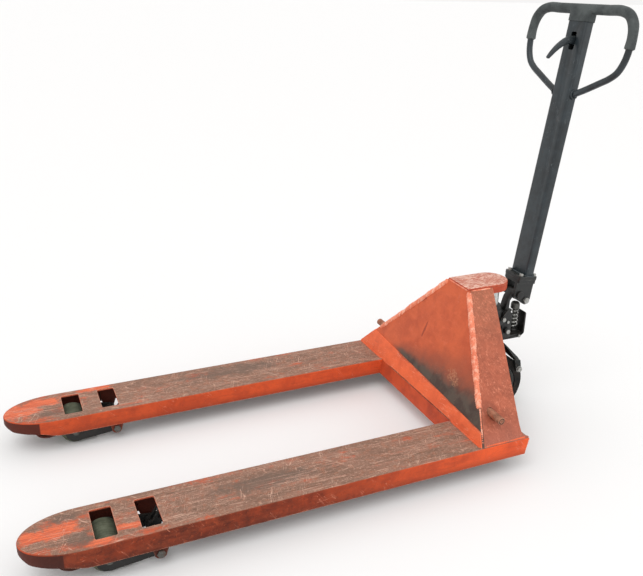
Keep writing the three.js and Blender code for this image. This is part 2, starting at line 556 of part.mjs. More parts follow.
function roundRect(w, h, r, n = 4) {
  const pts = [];
  for (const [cx, cy, a0] of [[w / 2 - r, h / 2 - r, 0], [-w / 2 + r, h / 2 - r, 90], [-w / 2 + r, -h / 2 + r, 180], [w / 2 - r, -h / 2 + r, 270]]) {
    for (let i = 0; i <= n; i++) {
      const a = (a0 + 90 * i / n) * Math.PI / 180;
      pts.push([cx + r * Math.cos(a), cy + r * Math.sin(a)]);
    }
  }
  return pts;
}
function yoke() {
  const top = plateXY(roundRect(61, 70, 6).map(([x, y]) => [x - 3.5, y]), -34, -22.3);
  const side = [[-33, -30], [26, -30], [plx + 15, plz + 4]];
  for (let i = 0; i <= 8; i++) {
    const t = -Math.PI * (i / 8) * 0.75;
    side.push([plx + 13 * Math.cos(t), plz + 13 * Math.sin(t)]);
  }
  side.push([pvx - 16, pvz - 8], [pvx - 17, pvz + 6]);
  const c1 = plateXZ(side, -27.5, -16.5), c2 = plateXZ(side, 16.5, 27.5);
  let g = add(c1, top, c2);
  g = cut(g, cylY(pvx, pvz, PIVOT.r + 0.3, -60, 60), cylY(plx, plz, 6.3, -60, 60));
  return g;
}
node('yoke', yoke(), black(), handle);
node('handle_flange', plateXY(roundRect(61, 74, 6).map(([x, y]) => [x - 3.5, y]), -22, -12), black(), handle);
node('handle_tube', (() => {
  const o = plateXY(roundRect(TUBE.x, TUBE.y, TUBE.r), TUBE.u0, TUBE.u1);
  const i = plateXY(roundRect(TUBE.x - 2 * TUBE.t, TUBE.y - 2 * TUBE.t, TUBE.r - TUBE.t), TUBE.u0 - 5, TUBE.u1 + 5);
  return cut(o, i, box(-30, -8, -13, 13, 606, 668));
})(), black(), handle);
for (const [i, x, y] of [[1, -25, -27], [2, 21.2, -27], [3, -25, 27], [4, 21.2, 27]]) {
  node(`flange_bolt_${i}`, cylZ(x, y, 6, -11.7, -5, 6), steel(), handle);
}
node('pivot_shaft', cylY(pvx, pvz, PIVOT.r, -34, 34, 16), steel(), handle);
node('press_roller', latheY(plx, plz, [[6.4, -13.8], [PRESS.r, -13.8], [PRESS.r, 13.8], [6.4, 13.8], [6.4, -13.8]], 16), steel(), handle);
node('press_pin', add(cylY(plx, plz, 6, -30, 30), hexY(plx, plz, 10, -35, -28), hexY(plx, plz, 10, 28, 35)), steel(), handle);

// loop: legs from the tube's sides, upright sides and the top bar, one rod
function loopPath() {
  const P = [[0, 39, 506.5], [0, 70, 520], [0, 120, 544], [0, 148, 558], [0, 170, 575], [0, 184, 601], [0, 190, 632], [0, 190, 662],
    [0, 183, 692], [0, 165, 713], [0, 136, 722], [0, 90, 722], [0, 45, 722]];
  const all = [...P, [0, 0, 722], ...P.slice().reverse().map(([x, y, z]) => [x, -y, z])];
  return all.map(([x, y, z]) => new THREE.Vector3(x, y, z));
}
function tube(pts, r, rin, n, steps, seg = 10) {
  const curve = new THREE.CatmullRomCurve3(pts, false, 'centripetal');
  const s = new THREE.Shape();
  for (let i = 0; i < seg; i++) {
    const a = i / seg * Math.PI * 2;
    if (i) s.lineTo(r * Math.cos(a), r * Math.sin(a)); else s.moveTo(r, 0);
  }
  s.closePath();
  if (rin) {
    const h = new THREE.Path();
    for (let i = 0; i < seg; i++) {
      const a = -i / seg * Math.PI * 2;
      if (i) h.lineTo(rin * Math.cos(a), rin * Math.sin(a)); else h.moveTo(rin, 0);
    }
    h.closePath();
    s.holes.push(h);
  }
  return fixWinding(new THREE.ExtrudeGeometry(s, { steps, extrudePath: curve, bevelEnabled: false }));
}
const loopPts = loopPath();
node('handle_loop', tube(loopPts, LOOP.rod, 0, 0, 46, 8), black(), handle);

// moulded grip over the top bar and both shoulders, with a saddle on the tube
function grip() {
  const gp = loopPts.slice(6, -6);
  const sleeve = tube(gp, LOOP.grip, 0, 0, 26, 10);
  const saddle = plateXY(roundRect(38, 84, 9, 4), 686, 731);
  const rodCut = tube(loopPts, LOOP.rod + 0.9, 0, 0, 46, 8);
  let g = add(sleeve, saddle);
  g = cut(g, rodCut);
  g = cut(g, plateXY(roundRect(TUBE.x + 0.8, TUBE.y + 0.8, TUBE.r + 0.4), 660, TUBE.u1 + 0.6));
  return g;
}
node('grip', grip(), gripMat(), handle);

// release lever in the tube's front slot, with its pin and the rod it pulls
const LEVER = { x: 2, z: 640 };
function lever() {
  const pts = [[LEVER.x + 7, 630], [LEVER.x + 7, 649], [-4, 652], [-20, 650], [-38, 643], [-56, 630], [-72, 612], [-84, 592], [-87, 586],
    [-83, 585], [-68, 604], [-50, 620], [-32, 630], [-16, 633], [-6, 628]];
  const g = plateXZ(pts, -9, 9);
  return cut(g, cylY(LEVER.x, LEVER.z, 3.4, -20, 20, 16));
}
node('release_lever', lever(), black(), handle);
node('lever_pin', cylY(LEVER.x, LEVER.z, 3, -31.6, 31.6, 16), steel(), handle);
node('release_rod', cylZ(LEVER.x, 0, 3, 20, 620, 10), steel(), handle);

export default jack;
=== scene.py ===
import bpy, math, json, random
from mathutils import Vector, Matrix, noise as mnoise


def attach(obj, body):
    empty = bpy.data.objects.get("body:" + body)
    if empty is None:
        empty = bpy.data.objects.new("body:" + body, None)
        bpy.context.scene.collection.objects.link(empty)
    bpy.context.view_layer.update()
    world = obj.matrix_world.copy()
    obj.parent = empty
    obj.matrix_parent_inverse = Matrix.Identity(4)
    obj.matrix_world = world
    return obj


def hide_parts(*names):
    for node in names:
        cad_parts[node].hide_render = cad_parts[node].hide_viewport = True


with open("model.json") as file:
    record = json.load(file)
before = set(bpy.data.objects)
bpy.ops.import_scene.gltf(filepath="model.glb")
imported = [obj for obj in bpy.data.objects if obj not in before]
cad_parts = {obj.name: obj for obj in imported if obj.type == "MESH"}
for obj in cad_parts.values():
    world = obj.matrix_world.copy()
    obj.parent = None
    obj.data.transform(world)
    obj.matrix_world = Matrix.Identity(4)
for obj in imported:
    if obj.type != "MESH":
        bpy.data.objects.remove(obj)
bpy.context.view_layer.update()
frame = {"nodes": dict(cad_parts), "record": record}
N = frame["nodes"]
random.seed(7)

# Lengths below are millimetres in the "heel frame": x = 0 at the rear corner of
# the forks, z = 0 on the fork tops. The row frame is that, shifted.
DX, H = 465.24, 95.0
LEAN = math.radians(7.68)
CL, SL = math.cos(LEAN), math.sin(LEAN)


def W(p):
    return ((p[0] + DX) / 1000.0, p[1] / 1000.0, (p[2] + H) / 1000.0)


def HL(p):
    """A point in the handle's own frame, taken to the heel frame."""
    x, y, z = p
    return (197 + x * CL + z * SL, y, 320 - x * SL + z * CL)


# ------------------------------------------------------------------ geometry
class G:
    def __init__(self):
        self.v, self.f = [], []

    def add(self, v, f):
        o = len(self.v)
        self.v += [tuple(p) for p in v]
        self.f += [tuple(i + o for i in q) for q in f]
        return self

    def map(self, fn):
        self.v = [fn(p) for p in self.v]
        return self

    def mirror(self):
        g = G()
        g.v = [(x, -y, z) for x, y, z in self.v]
        g.f = [tuple(reversed(q)) for q in self.f]
        return g

    def join(self, *others):
        for o in others:
            self.add(o.v, o.f)
        return self


def rings(loops, closed=False, cap0=True, cap1=True):
    """Skins a list of loops with the same number of points."""
    g = G()
    n = len(loops[0])
    v = [p for l in loops for p in l]
    f = []
    m = len(loops)
    for i in range(m if closed else m - 1):
        a, b = i * n, ((i + 1) % m) * n
        for j in range(n):
            k = (j + 1) % n
            f.append((a + j, a + k, b + k, b + j))
    if not closed:
        if cap0:
            f.append(tuple(reversed(range(n))))
        if cap1:
            f.append(tuple((m - 1) * n + j for j in range(n)))
    return g.add(v, f)


def lathe(profile, c, axis="y", n=48):
    """profile of [radius, height along the axis]; a closed ring unless it starts and ends on the axis."""
    solid = profile[0][0] == 0 and profile[-1][0] == 0
    prof = profile[1:-1] if solid else (profile[:-1] if profile[0] == profile[-1] else profile)
    loops = []
    for r, h in prof:
        l = []
        for i in range(n):
            a = 2 * math.pi * i / n
            p, q = r * math.cos(a), r * math.sin(a)
            if axis == "y":
                l.append((c[0] + p, c[1] + h, c[2] + q))
            elif axis == "z":
                l.append((c[0] + p, c[1] + q, c[2] + h))
            else:
                l.append((c[0] + h, c[1] + p, c[2] + q))
        loops.append(l)
    return rings(loops, closed=not solid)


def cyl(c, axis, r, h0, h1, ch=0.8, n=40):
    return lathe([[0, h0], [r - ch, h0], [r - ch * 0.3, h0 + ch * 0.3], [r, h0 + ch], [r, h1 - ch], [r - ch * 0.3, h1 - ch * 0.3], [r - ch, h1], [0, h1]], c, axis, n)


def hexhead(c, axis, r, h0, h1, up=1, washer=0):
    """Hexagon head whose outer face is on the h1 side if up > 0."""
    g = G()
    n = 36
    loops = []
    s = 1 if up > 0 else -1
    a0, a1 = (h0, h1) if up > 0 else (h1, h0)
    ht = abs(h1 - h0)
    def hexr(a):
        k = math.pi / 3
        return r * math.cos(math.pi / 6) / math.cos((a % k) - k / 2)
    rin = r * math.cos(math.pi / 6)
    prof = [(a0, None, 0.0), (a0 + s * ht * 0.72, None, 0.0), (a0 + s * ht * 0.9, rin * 1.03, 0), (a1, rin * 0.93, 0), (a1 - s * 0.25, rin * 0.5, 0)]
    for h, cap, _ in prof:
        l = []
        for i in range(n):
            a = 2 * math.pi * i / n
            rr = hexr(a)
            if cap is not None:
                rr = min(rr, cap)
            p, q = rr * math.cos(a), rr * math.sin(a)
            l.append((c[0] + p, c[1] + h, c[2] + q) if axis == "y" else (c[0] + p, c[1] + q, c[2] + h))
        loops.append(l)
    g.join(rings(loops))
    if washer:
        g.join(cyl(c, axis, washer, min(a0, a0 + s * 1.4), max(a0, a0 + s * 1.4), 0.3))
    return g


def frames(path):
    P = [Vector(p) for p in path]
    T = [(P[min(i + 1, len(P) - 1)] - P[max(i - 1, 0)]).normalized() for i in range(len(P))]
    ref = Vector((1, 0, 0)) if abs(T[0].x) < 0.8 else Vector((0, 0, 1))
    U = (ref - T[0] * ref.dot(T[0])).normalized()
    out = []
    for p, t in zip(P, T):
        U = (U - t * U.dot(t)).normalized()
        out.append((p, t, U, t.cross(U)))
    return out


def sweep(path, radii, n=24, section=None):
    loops = []
    fr = frames(path)
    for i, (p, t, u, w) in enumerate(fr):
        r = radii[i] if hasattr(radii, "__len__") else radii
        l = []
        for j in range(n):
            a = 2 * math.pi * j / n
            k = section(i, a) if section else 1.0
            l.append(tuple(p + (u * math.cos(a) + w * math.sin(a)) * r * k))
        loops.append(l)
    return rings(loops)


def catmull(pts, per=12):
    P = [Vector(p) for p in pts]
    P = [P[0] * 2 - P[1]] + P + [P[-1] * 2 - P[-2]]
    out = []
    for i in range(1, len(P) - 2):
        p0, p1, p2, p3 = P[i - 1], P[i], P[i + 1], P[i + 2]
        t0 = 0.0
        t1 = t0 + max((p1 - p0).length, 1e-6) ** 0.5
        t2 = t1 + max((p2 - p1).length, 1e-6) ** 0.5
        t3 = t2 + max((p3 - p2).length, 1e-6) ** 0.5
        for k in range(per):
            t = t1 + (t2 - t1) * k / per
            a1 = p0 * ((t1 - t) / (t1 - t0)) + p1 * ((t - t0) / (t1 - t0))
            a2 = p1 * ((t2 - t) / (t2 - t1)) + p2 * ((t - t1) / (t2 - t1))
            a3 = p2 * ((t3 - t) / (t3 - t2)) + p3 * ((t - t2) / (t3 - t2))
            b1 = a1 * ((t2 - t) / (t2 - t0)) + a2 * ((t - t0) / (t2 - t0))
            b2 = a2 * ((t3 - t) / (t3 - t1)) + a3 * ((t - t1) / (t3 - t1))
            out.append(tuple(b1 * ((t2 - t) / (t2 - t1)) + b2 * ((t - t1) / (t2 - t1))))
    out.append(tuple(P[-2]))
    return out


def prism(pts, plane, a, b):
    """Extrudes a 2D outline: 'xz' stands up from y=a to b, 'xy' lies flat from z=a to b."""
    def q(p, h):
        return (p[0], h, p[1]) if plane == "xz" else (p[0], p[1], h)
    return rings([[q(p, a) for p in pts], [q(p, b) for p in pts]])


def hullobj(g):
    return g


def boxg(x0, x1, y0, y1, z0, z1):
    return prism([(x0, y0), (x1, y0), (x1, y1), (x0, y1)], "xy", z0, z1)


def link(ax, az, ar, bx, bz, br, n=12):
    d = math.atan2(bz - az, bx - ax)
    L = math.hypot(bx - ax, bz - az)
    off = math.acos((ar - br) / L)
    pts = []
    for i in range(n + 1):
        t = d + off + (2 * math.pi - 2 * off) * i / n
        pts.append((ax + ar * math.cos(t), az + ar * math.sin(t)))
    for i in range(n + 1):
        t = d - off + 2 * off * i / n
        pts.append((bx + br * math.cos(t), bz + br * math.sin(t)))
    return pts


def rrect(w, h, r, n=6, cx=0, cy=0):
    pts = []
    for sx, sy, a0 in ((1, 1, 0), (-1, 1, 90), (-1, -1, 180), (1, -1, 270)):
        for i in range(n + 1):
            a = math.radians(a0 + 90 * i / n)
            pts.append((cx + sx * (w / 2 - r) + r * math.cos(a), cy + sy * (h / 2 - r) + r * math.sin(a)))
    return pts


def mesh_of(name, g):
    me = bpy.data.meshes.new(name)
    me.from_pydata([W(p) for p in g.v], [], g.f)
    me.update()
    import bmesh
    bm = bmesh.new()
    bm.from_mesh(me)
    bmesh.ops.remove_doubles(bm, verts=bm.verts, dist=1e-6)
    bmesh.ops.recalc_face_normals(bm, faces=bm.faces)
    bm.to_mesh(me)
    bm.free()
    return me


def smooth(o, angle=32):
    me = o.data
    for p in me.polygons:
        p.use_smooth = True
    try:
        me.set_sharp_from_angle(angle=math.radians(angle))
    except Exception:
        pass


def piece(name, g, body, mat, replaces=(), bevel=0, seg=3, angle=32, limit=28, cuts=()):
    o = bpy.data.objects.new(name, mesh_of(name, g))
    bpy.context.scene.collection.objects.link(o)
    o.data.materials.append(mat)
    for c in cuts:
        co = bpy.data.objects.new("cutter", mesh_of("cutter", c))
        bpy.context.scene.collection.objects.link(co)
        m = o.modifiers.new("cut", "BOOLEAN")
        m.object, m.operation, m.solver = co, "DIFFERENCE", "EXACT"
        bpy.context.view_layer.update()
        dg = bpy.context.evaluated_depsgraph_get()
        me = bpy.data.meshes.new_from_object(o.evaluated_get(dg))
        o.modifiers.clear()
        o.data = me
        bpy.data.objects.remove(co)
    if bevel:
        m = o.modifiers.new("bevel", "BEVEL")
        m.width, m.segments, m.limit_method = bevel / 1000.0, seg, "ANGLE"
        m.angle_limit = math.radians(limit)
        m.harden_normals = False
        bpy.context.view_layer.update()
        dg = bpy.context.evaluated_depsgraph_get()
        me = bpy.data.meshes.new_from_object(o.evaluated_get(dg))
        o.modifiers.clear()
        o.data = me
    smooth(o, angle)
    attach(o, body)
    if replaces:
        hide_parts(*replaces)
    return o


# ----------------------------------------------------------------- materials
def lin(r, g, b):
    def f(c):
        c /= 255.0
        return c / 12.92 if c <= 0.04045 else ((c + 0.055) / 1.055) ** 2.4
    return (f(r), f(g), f(b), 1.0)


class Mat:
    def __init__(self, name):
        self.m = bpy.data.materials.new(name)
        self.m.use_nodes = True
        self.t = self.m.node_tree
        self.t.nodes.clear()
        out = self.n("ShaderNodeOutputMaterial")
        self.b = self.n("ShaderNodeBsdfPrincipled")
        self.t.links.new(self.b.outputs[0], out.inputs[0])
        tc = self.n("ShaderNodeTexCoord")
        self.co = tc.outputs["Object"]
        self.no = tc.outputs["Normal"]
        self.x, self.y, self.z = self.sep(self.co)
        self.nx, self.ny, self.nz = self.sep(self.no)

    def n(self, kind, **kw):
        o = self.t.nodes.new(kind)
        for k, v in kw.items():
            setattr(o, k, v)
        return o

    def put(self, sock, v):
        if isinstance(v, bpy.types.NodeSocket):
            self.t.links.new(v, sock)
        else:
            sock.default_value = v

    def sep(self, v):
        o = self.n("ShaderNodeSeparateXYZ")
        self.put(o.inputs[0], v)
        return o.outputs[0], o.outputs[1], o.outputs[2]

    def ma(self, op, a, b=0.0, clamp=False):
        o = self.n("ShaderNodeMath", operation=op, use_clamp=clamp)
        self.put(o.inputs[0], a)
        self.put(o.inputs[1], b)
        return o.outputs[0]

    def mul(self, *a):
        r = a[0]
        for b in a[1:]:
            r = self.ma("MULTIPLY", r, b)
        return r

    def add(self, *a):
        r = a[0]
        for b in a[1:]:
            r = self.ma("ADD", r, b)
        return r

    def inv(self, a):
        return self.ma("SUBTRACT", 1.0, a)

    def step(self, v, a, b, c=0.0, d=1.0):
        o = self.n("ShaderNodeMapRange", interpolation_type="SMOOTHSTEP")
        for i, x in enumerate((v, a, b, c, d)):
            self.put(o.inputs[i], x)
        return o.outputs[0]

    def lin(self, v, a, b, c=0.0, d=1.0):
        o = self.n("ShaderNodeMapRange")
        o.clamp = True
        for i, x in enumerate((v, a, b, c, d)):
            self.put(o.inputs[i], x)
        return o.outputs[0]

    def mapped(self, scale=(1, 1, 1), rot=(0, 0, 0), loc=(0, 0, 0)):
        o = self.n("ShaderNodeMapping", vector_type="POINT")
        self.put(o.inputs[0], self.co)
        o.inputs[1].default_value = loc
        o.inputs[2].default_value = rot
        o.inputs[3].default_value = scale
        return o.outputs[0]

    def rotated(self, rot, scale, loc=(0, 0, 0)):
        """Turns first, then stretches, so a grain can run in any direction."""
        r = self.n("ShaderNodeVectorRotate", rotation_type="EULER_XYZ")
        self.put(r.inputs[0], self.co)
        r.inputs[4].default_value = rot
        o = self.n("ShaderNodeMapping", vector_type="POINT")
        self.t.links.new(r.outputs[0], o.inputs[0])
        o.inputs[1].default_value = loc
        o.inputs[3].default_value = scale
        return o.outputs[0]

    def noise(self, scale=5.0, detail=4.0, rough=0.55, dist=0.0, vec=None):
        o = self.n("ShaderNodeTexNoise")
        self.put(o.inputs["Vector"], vec if vec is not None else self.co)
        o.inputs["Scale"].default_value = scale
        o.inputs["Detail"].default_value = detail
        o.inputs["Roughness"].default_value = rough
        o.inputs["Distortion"].default_value = dist
        return o.outputs[0]

    def voro(self, scale, vec=None, feature="F1", rnd=1.0):
        o = self.n("ShaderNodeTexVoronoi", feature=feature)
        self.put(o.inputs["Vector"], vec if vec is not None else self.co)
        o.inputs["Scale"].default_value = scale
        return o.outputs["Distance"]

    def mix(self, f, a, b, blend="MIX"):
        o = self.n("ShaderNodeMix", data_type="RGBA", blend_type=blend)
        self.put(o.inputs["Factor"], f)
        self.put(o.inputs[6], a)
        self.put(o.inputs[7], b)
        return o.outputs[2]

    def lines(self, rot, stretch, eps=0.012, scale=1.0, loc=(0, 0, 0), keep=0.55, patch=9.0):
        """Thin long scratches along one direction, broken into patches."""
        v = self.rotated(rot, stretch, loc)
        a = self.ma("ABSOLUTE", self.ma("SUBTRACT", self.noise(scale, 1.0, 0.4, vec=v), 0.5))
        l = self.step(a, eps * 0.3, eps, 1.0, 0.0)
        v2 = self.rotated(rot, (patch, patch * 3, patch * 3), (loc[0] + 3.1, loc[1] + 1.7, loc[2] + 5.3))
        return self.mul(l, self.step(self.noise(1.0, 3.0, 0.6, vec=v2), keep, keep + 0.08))

    def blob(self, c, r, soft=0.35):
        """Soft spot round a heel-frame point c, radii r, in mm."""
        d = self.n("ShaderNodeVectorMath", operation="SUBTRACT")
        self.put(d.inputs[0], self.co)
        d.inputs[1].default_value = W(c)
        s = self.n("ShaderNodeVectorMath", operation="DIVIDE")
        self.t.links.new(d.outputs[0], s.inputs[0])
        s.inputs[1].default_value = tuple(x / 1000.0 for x in r)
        l = self.n("ShaderNodeVectorMath", operation="LENGTH")
        self.t.links.new(s.outputs[0], l.inputs[0])
        return self.add(l.outputs["Value"], 0.0)

    def spot(self, c, r, wob, amount=0.5, soft=0.25):
        d = self.add(self.blob(c, r), self.mul(self.ma("SUBTRACT", wob, 0.5), amount * 2))
        return self.step(d, 1.0 - soft, 1.0 + soft, 1.0, 0.0)

    def edge(self, radius=0.003, lo=0.985, hi=0.90):
        bv = self.n("ShaderNodeBevel")
        bv.samples = 4
        bv.inputs[0].default_value = radius
        g = self.n("ShaderNodeNewGeometry")
        d = self.n("ShaderNodeVectorMath", operation="DOT_PRODUCT")
        self.t.links.new(bv.outputs[0], d.inputs[0])
        self.t.links.new(g.outputs["Normal"], d.inputs[1])
        return self.step(d.outputs["Value"], hi, lo, 1.0, 0.0)

    def bump(self, h, strength=0.3, dist=0.001):
        o = self.n("ShaderNodeBump")
        o.inputs["Strength"].default_value = strength
        o.inputs["Distance"].default_value = dist
        self.put(o.inputs["Height"], h)
        self.t.links.new(o.outputs[0], self.b.inputs["Normal"])

    def done(self, color, rough, metal=0.0, spec=0.5):
        self.put(self.b.inputs["Base Color"], color)
        self.put(self.b.inputs["Roughness"], rough)
        self.put(self.b.inputs["Metallic"], metal)
        self.b.inputs["Specular IOR Level"].default_value = spec
        return self.m


def hx(x):
    return (x + DX) / 1000.0


def hz(z):
    return (z + H) / 1000.0


def paint_fork():
    m = Mat("paint_fork")
    big = m.noise(3.2, 5, 0.6)
    med = m.noise(22, 6, 0.62, 0.4)
    fine = m.noise(190, 5, 0.7)
    grain = m.noise(700, 2, 0.6)
    streak = m.noise(1.0, 5, 0.62, vec=m.mapped((7, 46, 30)))
    streak2 = m.noise(1.0, 3, 0.6, vec=m.mapped((26, 300, 120), loc=(4, 2, 1)))
    top = m.step(m.nz, 0.55, 0.9)
    # side colour: painted shade, lit near the heel and darker towards the tip, fullest on the left fork's outer face;
    # dark spots gather towards the tip too
    along = m.lin(m.x, hx(-1250), hx(0))
    lit_side = m.mix(m.step(med, 0.35, 0.7), lin(232, 92, 44), lin(206, 78, 40))
    shaded_side = m.mix(m.step(med, 0.35, 0.65), lin(132, 48, 20), lin(92, 32, 14))
    outer = m.step(m.y, -0.300, -0.330)
    # painted shade mask: grows towards the tip and is fullest on the outer face
    tip_shade = m.mul(m.step(m.add(along, m.mul(m.ma("SUBTRACT", big, 0.5), 0.35)), 0.30, 1.02, 1.0, 0.0), m.lin(outer, 0, 1, 0.34, 1.0))
    streakz = m.noise(1.0, 6, 0.7, vec=m.mapped((12, 60, 60)))
    lit_side = m.mix(m.mul(m.step(streakz, 0.5, 0.66), 0.35), lit_side, lin(150, 58, 34))
    shaded_side = m.mix(m.mul(m.step(streakz, 0.46, 0.62), 0.45), shaded_side, lin(140, 60, 32))
    side = m.mix(tip_shade, lit_side, shaded_side)
    side = m.mix(m.mul(m.step(m.noise(80, 6, 0.8), 0.50, 0.62), 0.45, tip_shade), side, lin(58, 26, 16))
    side = m.mix(m.mul(m.step(m.noise(130, 6, 0.8, 0.4), 0.56, 0.64), 0.55, tip_shade), side, lin(186, 82, 46))
    low = m.step(m.add(m.z, m.mul(m.ma("SUBTRACT", med, 0.5), 0.03)), hz(-49), hz(-28), 1.0, 0.0)
    side = m.mix(m.mul(low, 0.35), side, lin(70, 34, 24))
    # top colour: paint rubbed through to brown-grey
    brown = m.mix(m.step(streak, 0.34, 0.64), lin(154, 114, 96), lin(128, 98, 82))
    brown = m.mix(m.mul(m.step(m.noise(60, 6, 0.7), 0.50, 0.64), 0.6), brown, lin(168, 108, 82))
    brown = m.mix(m.mul(m.step(m.noise(150, 5, 0.8, 0.3), 0.52, 0.62), 0.75), brown, lin(186, 150, 130))
    brown = m.mix(m.mul(m.step(m.noise(120, 5, 0.8, 0.3), 0.58, 0.66), 0.7), brown, lin(92, 66, 54))
    brown = m.mix(m.mul(m.step(fine, 0.48, 0.70), 0.55), brown, lin(164, 128, 110))
    brown = m.mix(m.mul(m.step(streak2, 0.54, 0.70), 0.55), brown, lin(84, 60, 50))
    orange = m.mix(m.step(med, 0.4, 0.65), lin(198, 92, 60), lin(168, 82, 56))
    orange = m.mix(m.mul(m.step(streak2, 0.50, 0.64), 0.7), orange, lin(142, 88, 70))
    orange = m.mix(m.mul(m.step(m.noise(90, 6, 0.75), 0.52, 0.62), 0.6), orange, lin(128, 84, 68))
    tip = m.step(m.add(m.x, m.mul(m.ma("SUBTRACT", big, 0.5), 0.4)), hx(-1110), hx(-900), 1.0, 0.0)
    wear = m.add(m.mul(streak, 0.45), m.mul(med, 0.30), m.mul(m.noise(110, 6, 0.75), 0.25), m.mul(tip, -0.055))
    wearm = m.step(wear, 0.365, 0.465)
    topc = m.mix(wearm, orange, brown)
    for c, r in (((-1165, -262, 0), (46, 22, 60)), ((-1215, -262, 0), (24, 20, 60)), ((-1080, -326, 0), (26, 12, 60)),
                 ((-1040, -300, 0), (60, 10, 60)), ((-1210, 270, 0), (60, 30, 60)), ((-1150, 300, 0), (60, 20, 60)), ((-1000, 330, 0), (50, 12, 60))):
        topc = m.mix(m.mul(m.spot(c, r, m.noise(44, 6, 0.75), 1.3), 0.9), topc, m.mix(m.step(streak2, 0.42, 0.6), lin(238, 118, 76), lin(206, 96, 66)))
    for c, r in (((-1125, -306, 0), (42, 22, 60)), ((-1148, -222, 0), (30, 14, 60)), ((-700, -262, 0), (120, 26, 60)), ((-600, 290, 0), (150, 26, 60)), ((-1120, 240, 0), (40, 20, 60))):
        topc = m.mix(m.mul(m.spot(c, r, m.noise(30, 6, 0.75), 1.3, 0.4), 0.65), topc, lin(104, 90, 80))
    col = m.mix(top, side, topc)
    # scratches: mostly along the fork, some across
    s1 = m.lines((0, 0, 0.02), (5, 210, 90), 0.018, keep=0.44)
    s2 = m.lines((0, 0, -0.10), (8, 300, 90), 0.016, loc=(7, 3, 0), keep=0.52)
    s3 = m.lines((0, 0, 0.7), (10, 120, 60), 0.014, loc=(2, 9, 0), keep=0.52)
    s4 = m.lines((0, 0, -1.2), (12, 160, 60), 0.016, loc=(5, 1, 4), keep=0.54)
    sc = m.ma("MAXIMUM", m.ma("MAXIMUM", s1, s2), m.ma("MAXIMUM", s3, s4))
    col = m.mix(m.mul(sc, top, 0.70), col, lin(222, 178, 156))
    ss = m.ma("MAXIMUM", m.lines((0, 0.12, 0), (10, 60, 230), 0.012, keep=0.58), m.lines((0, -0.9, 0), (16, 60, 150), 0.016, loc=(8, 0, 3), keep=0.55))
    col = m.mix(m.mul(ss, m.inv(top), 0.75), col, lin(224, 138, 108))
    speck = m.step(fine, 0.66, 0.74)
    col = m.mix(m.mul(speck, 0.4), col, lin(60, 40, 34))
    col = m.mix(m.mul(m.step(grain, 0.35, 0.7), 0.22), col, lin(104, 70, 58))
    # rubbed edges, and painted shade on the channel's inside faces
    e = m.edge(0.004)
    em = m.mul(e, m.step(m.noise(60, 5, 0.7), 0.34, 0.52))
    col = m.mix(m.mul(em, 0.8), col, lin(232, 170, 144))
    em2 = m.mul(e, m.step(m.noise(36, 5, 0.7), 0.60, 0.70))
    col = m.mix(m.mul(em2, 0.8), col, lin(78, 52, 44))
    # painted shade: darkens the channel's inside faces below the top plate
    inner = m.step(m.ma("ABSOLUTE", m.ma("SUBTRACT", m.ma("ABSOLUTE", m.y), 0.2675)), 0.0702, 0.0708, 1.0, 0.0)
    under = m.mul(inner, m.step(m.z, hz(-4.2), hz(-3.0), 1.0, 0.0))
    col = m.mix(m.mul(under, 0.9), col, lin(58, 26, 20))
    m.bump(m.add(m.mul(med, 0.5), m.mul(fine, 0.35), m.mul(sc, -0.5), m.mul(ss, -0.5), m.mul(wearm, -0.25)), 0.35, 0.0007)
    r = m.add(0.52, m.mul(fine, 0.2), m.mul(wearm, top, 0.05))
    return m.done(col, r, 0.0, 0.2)


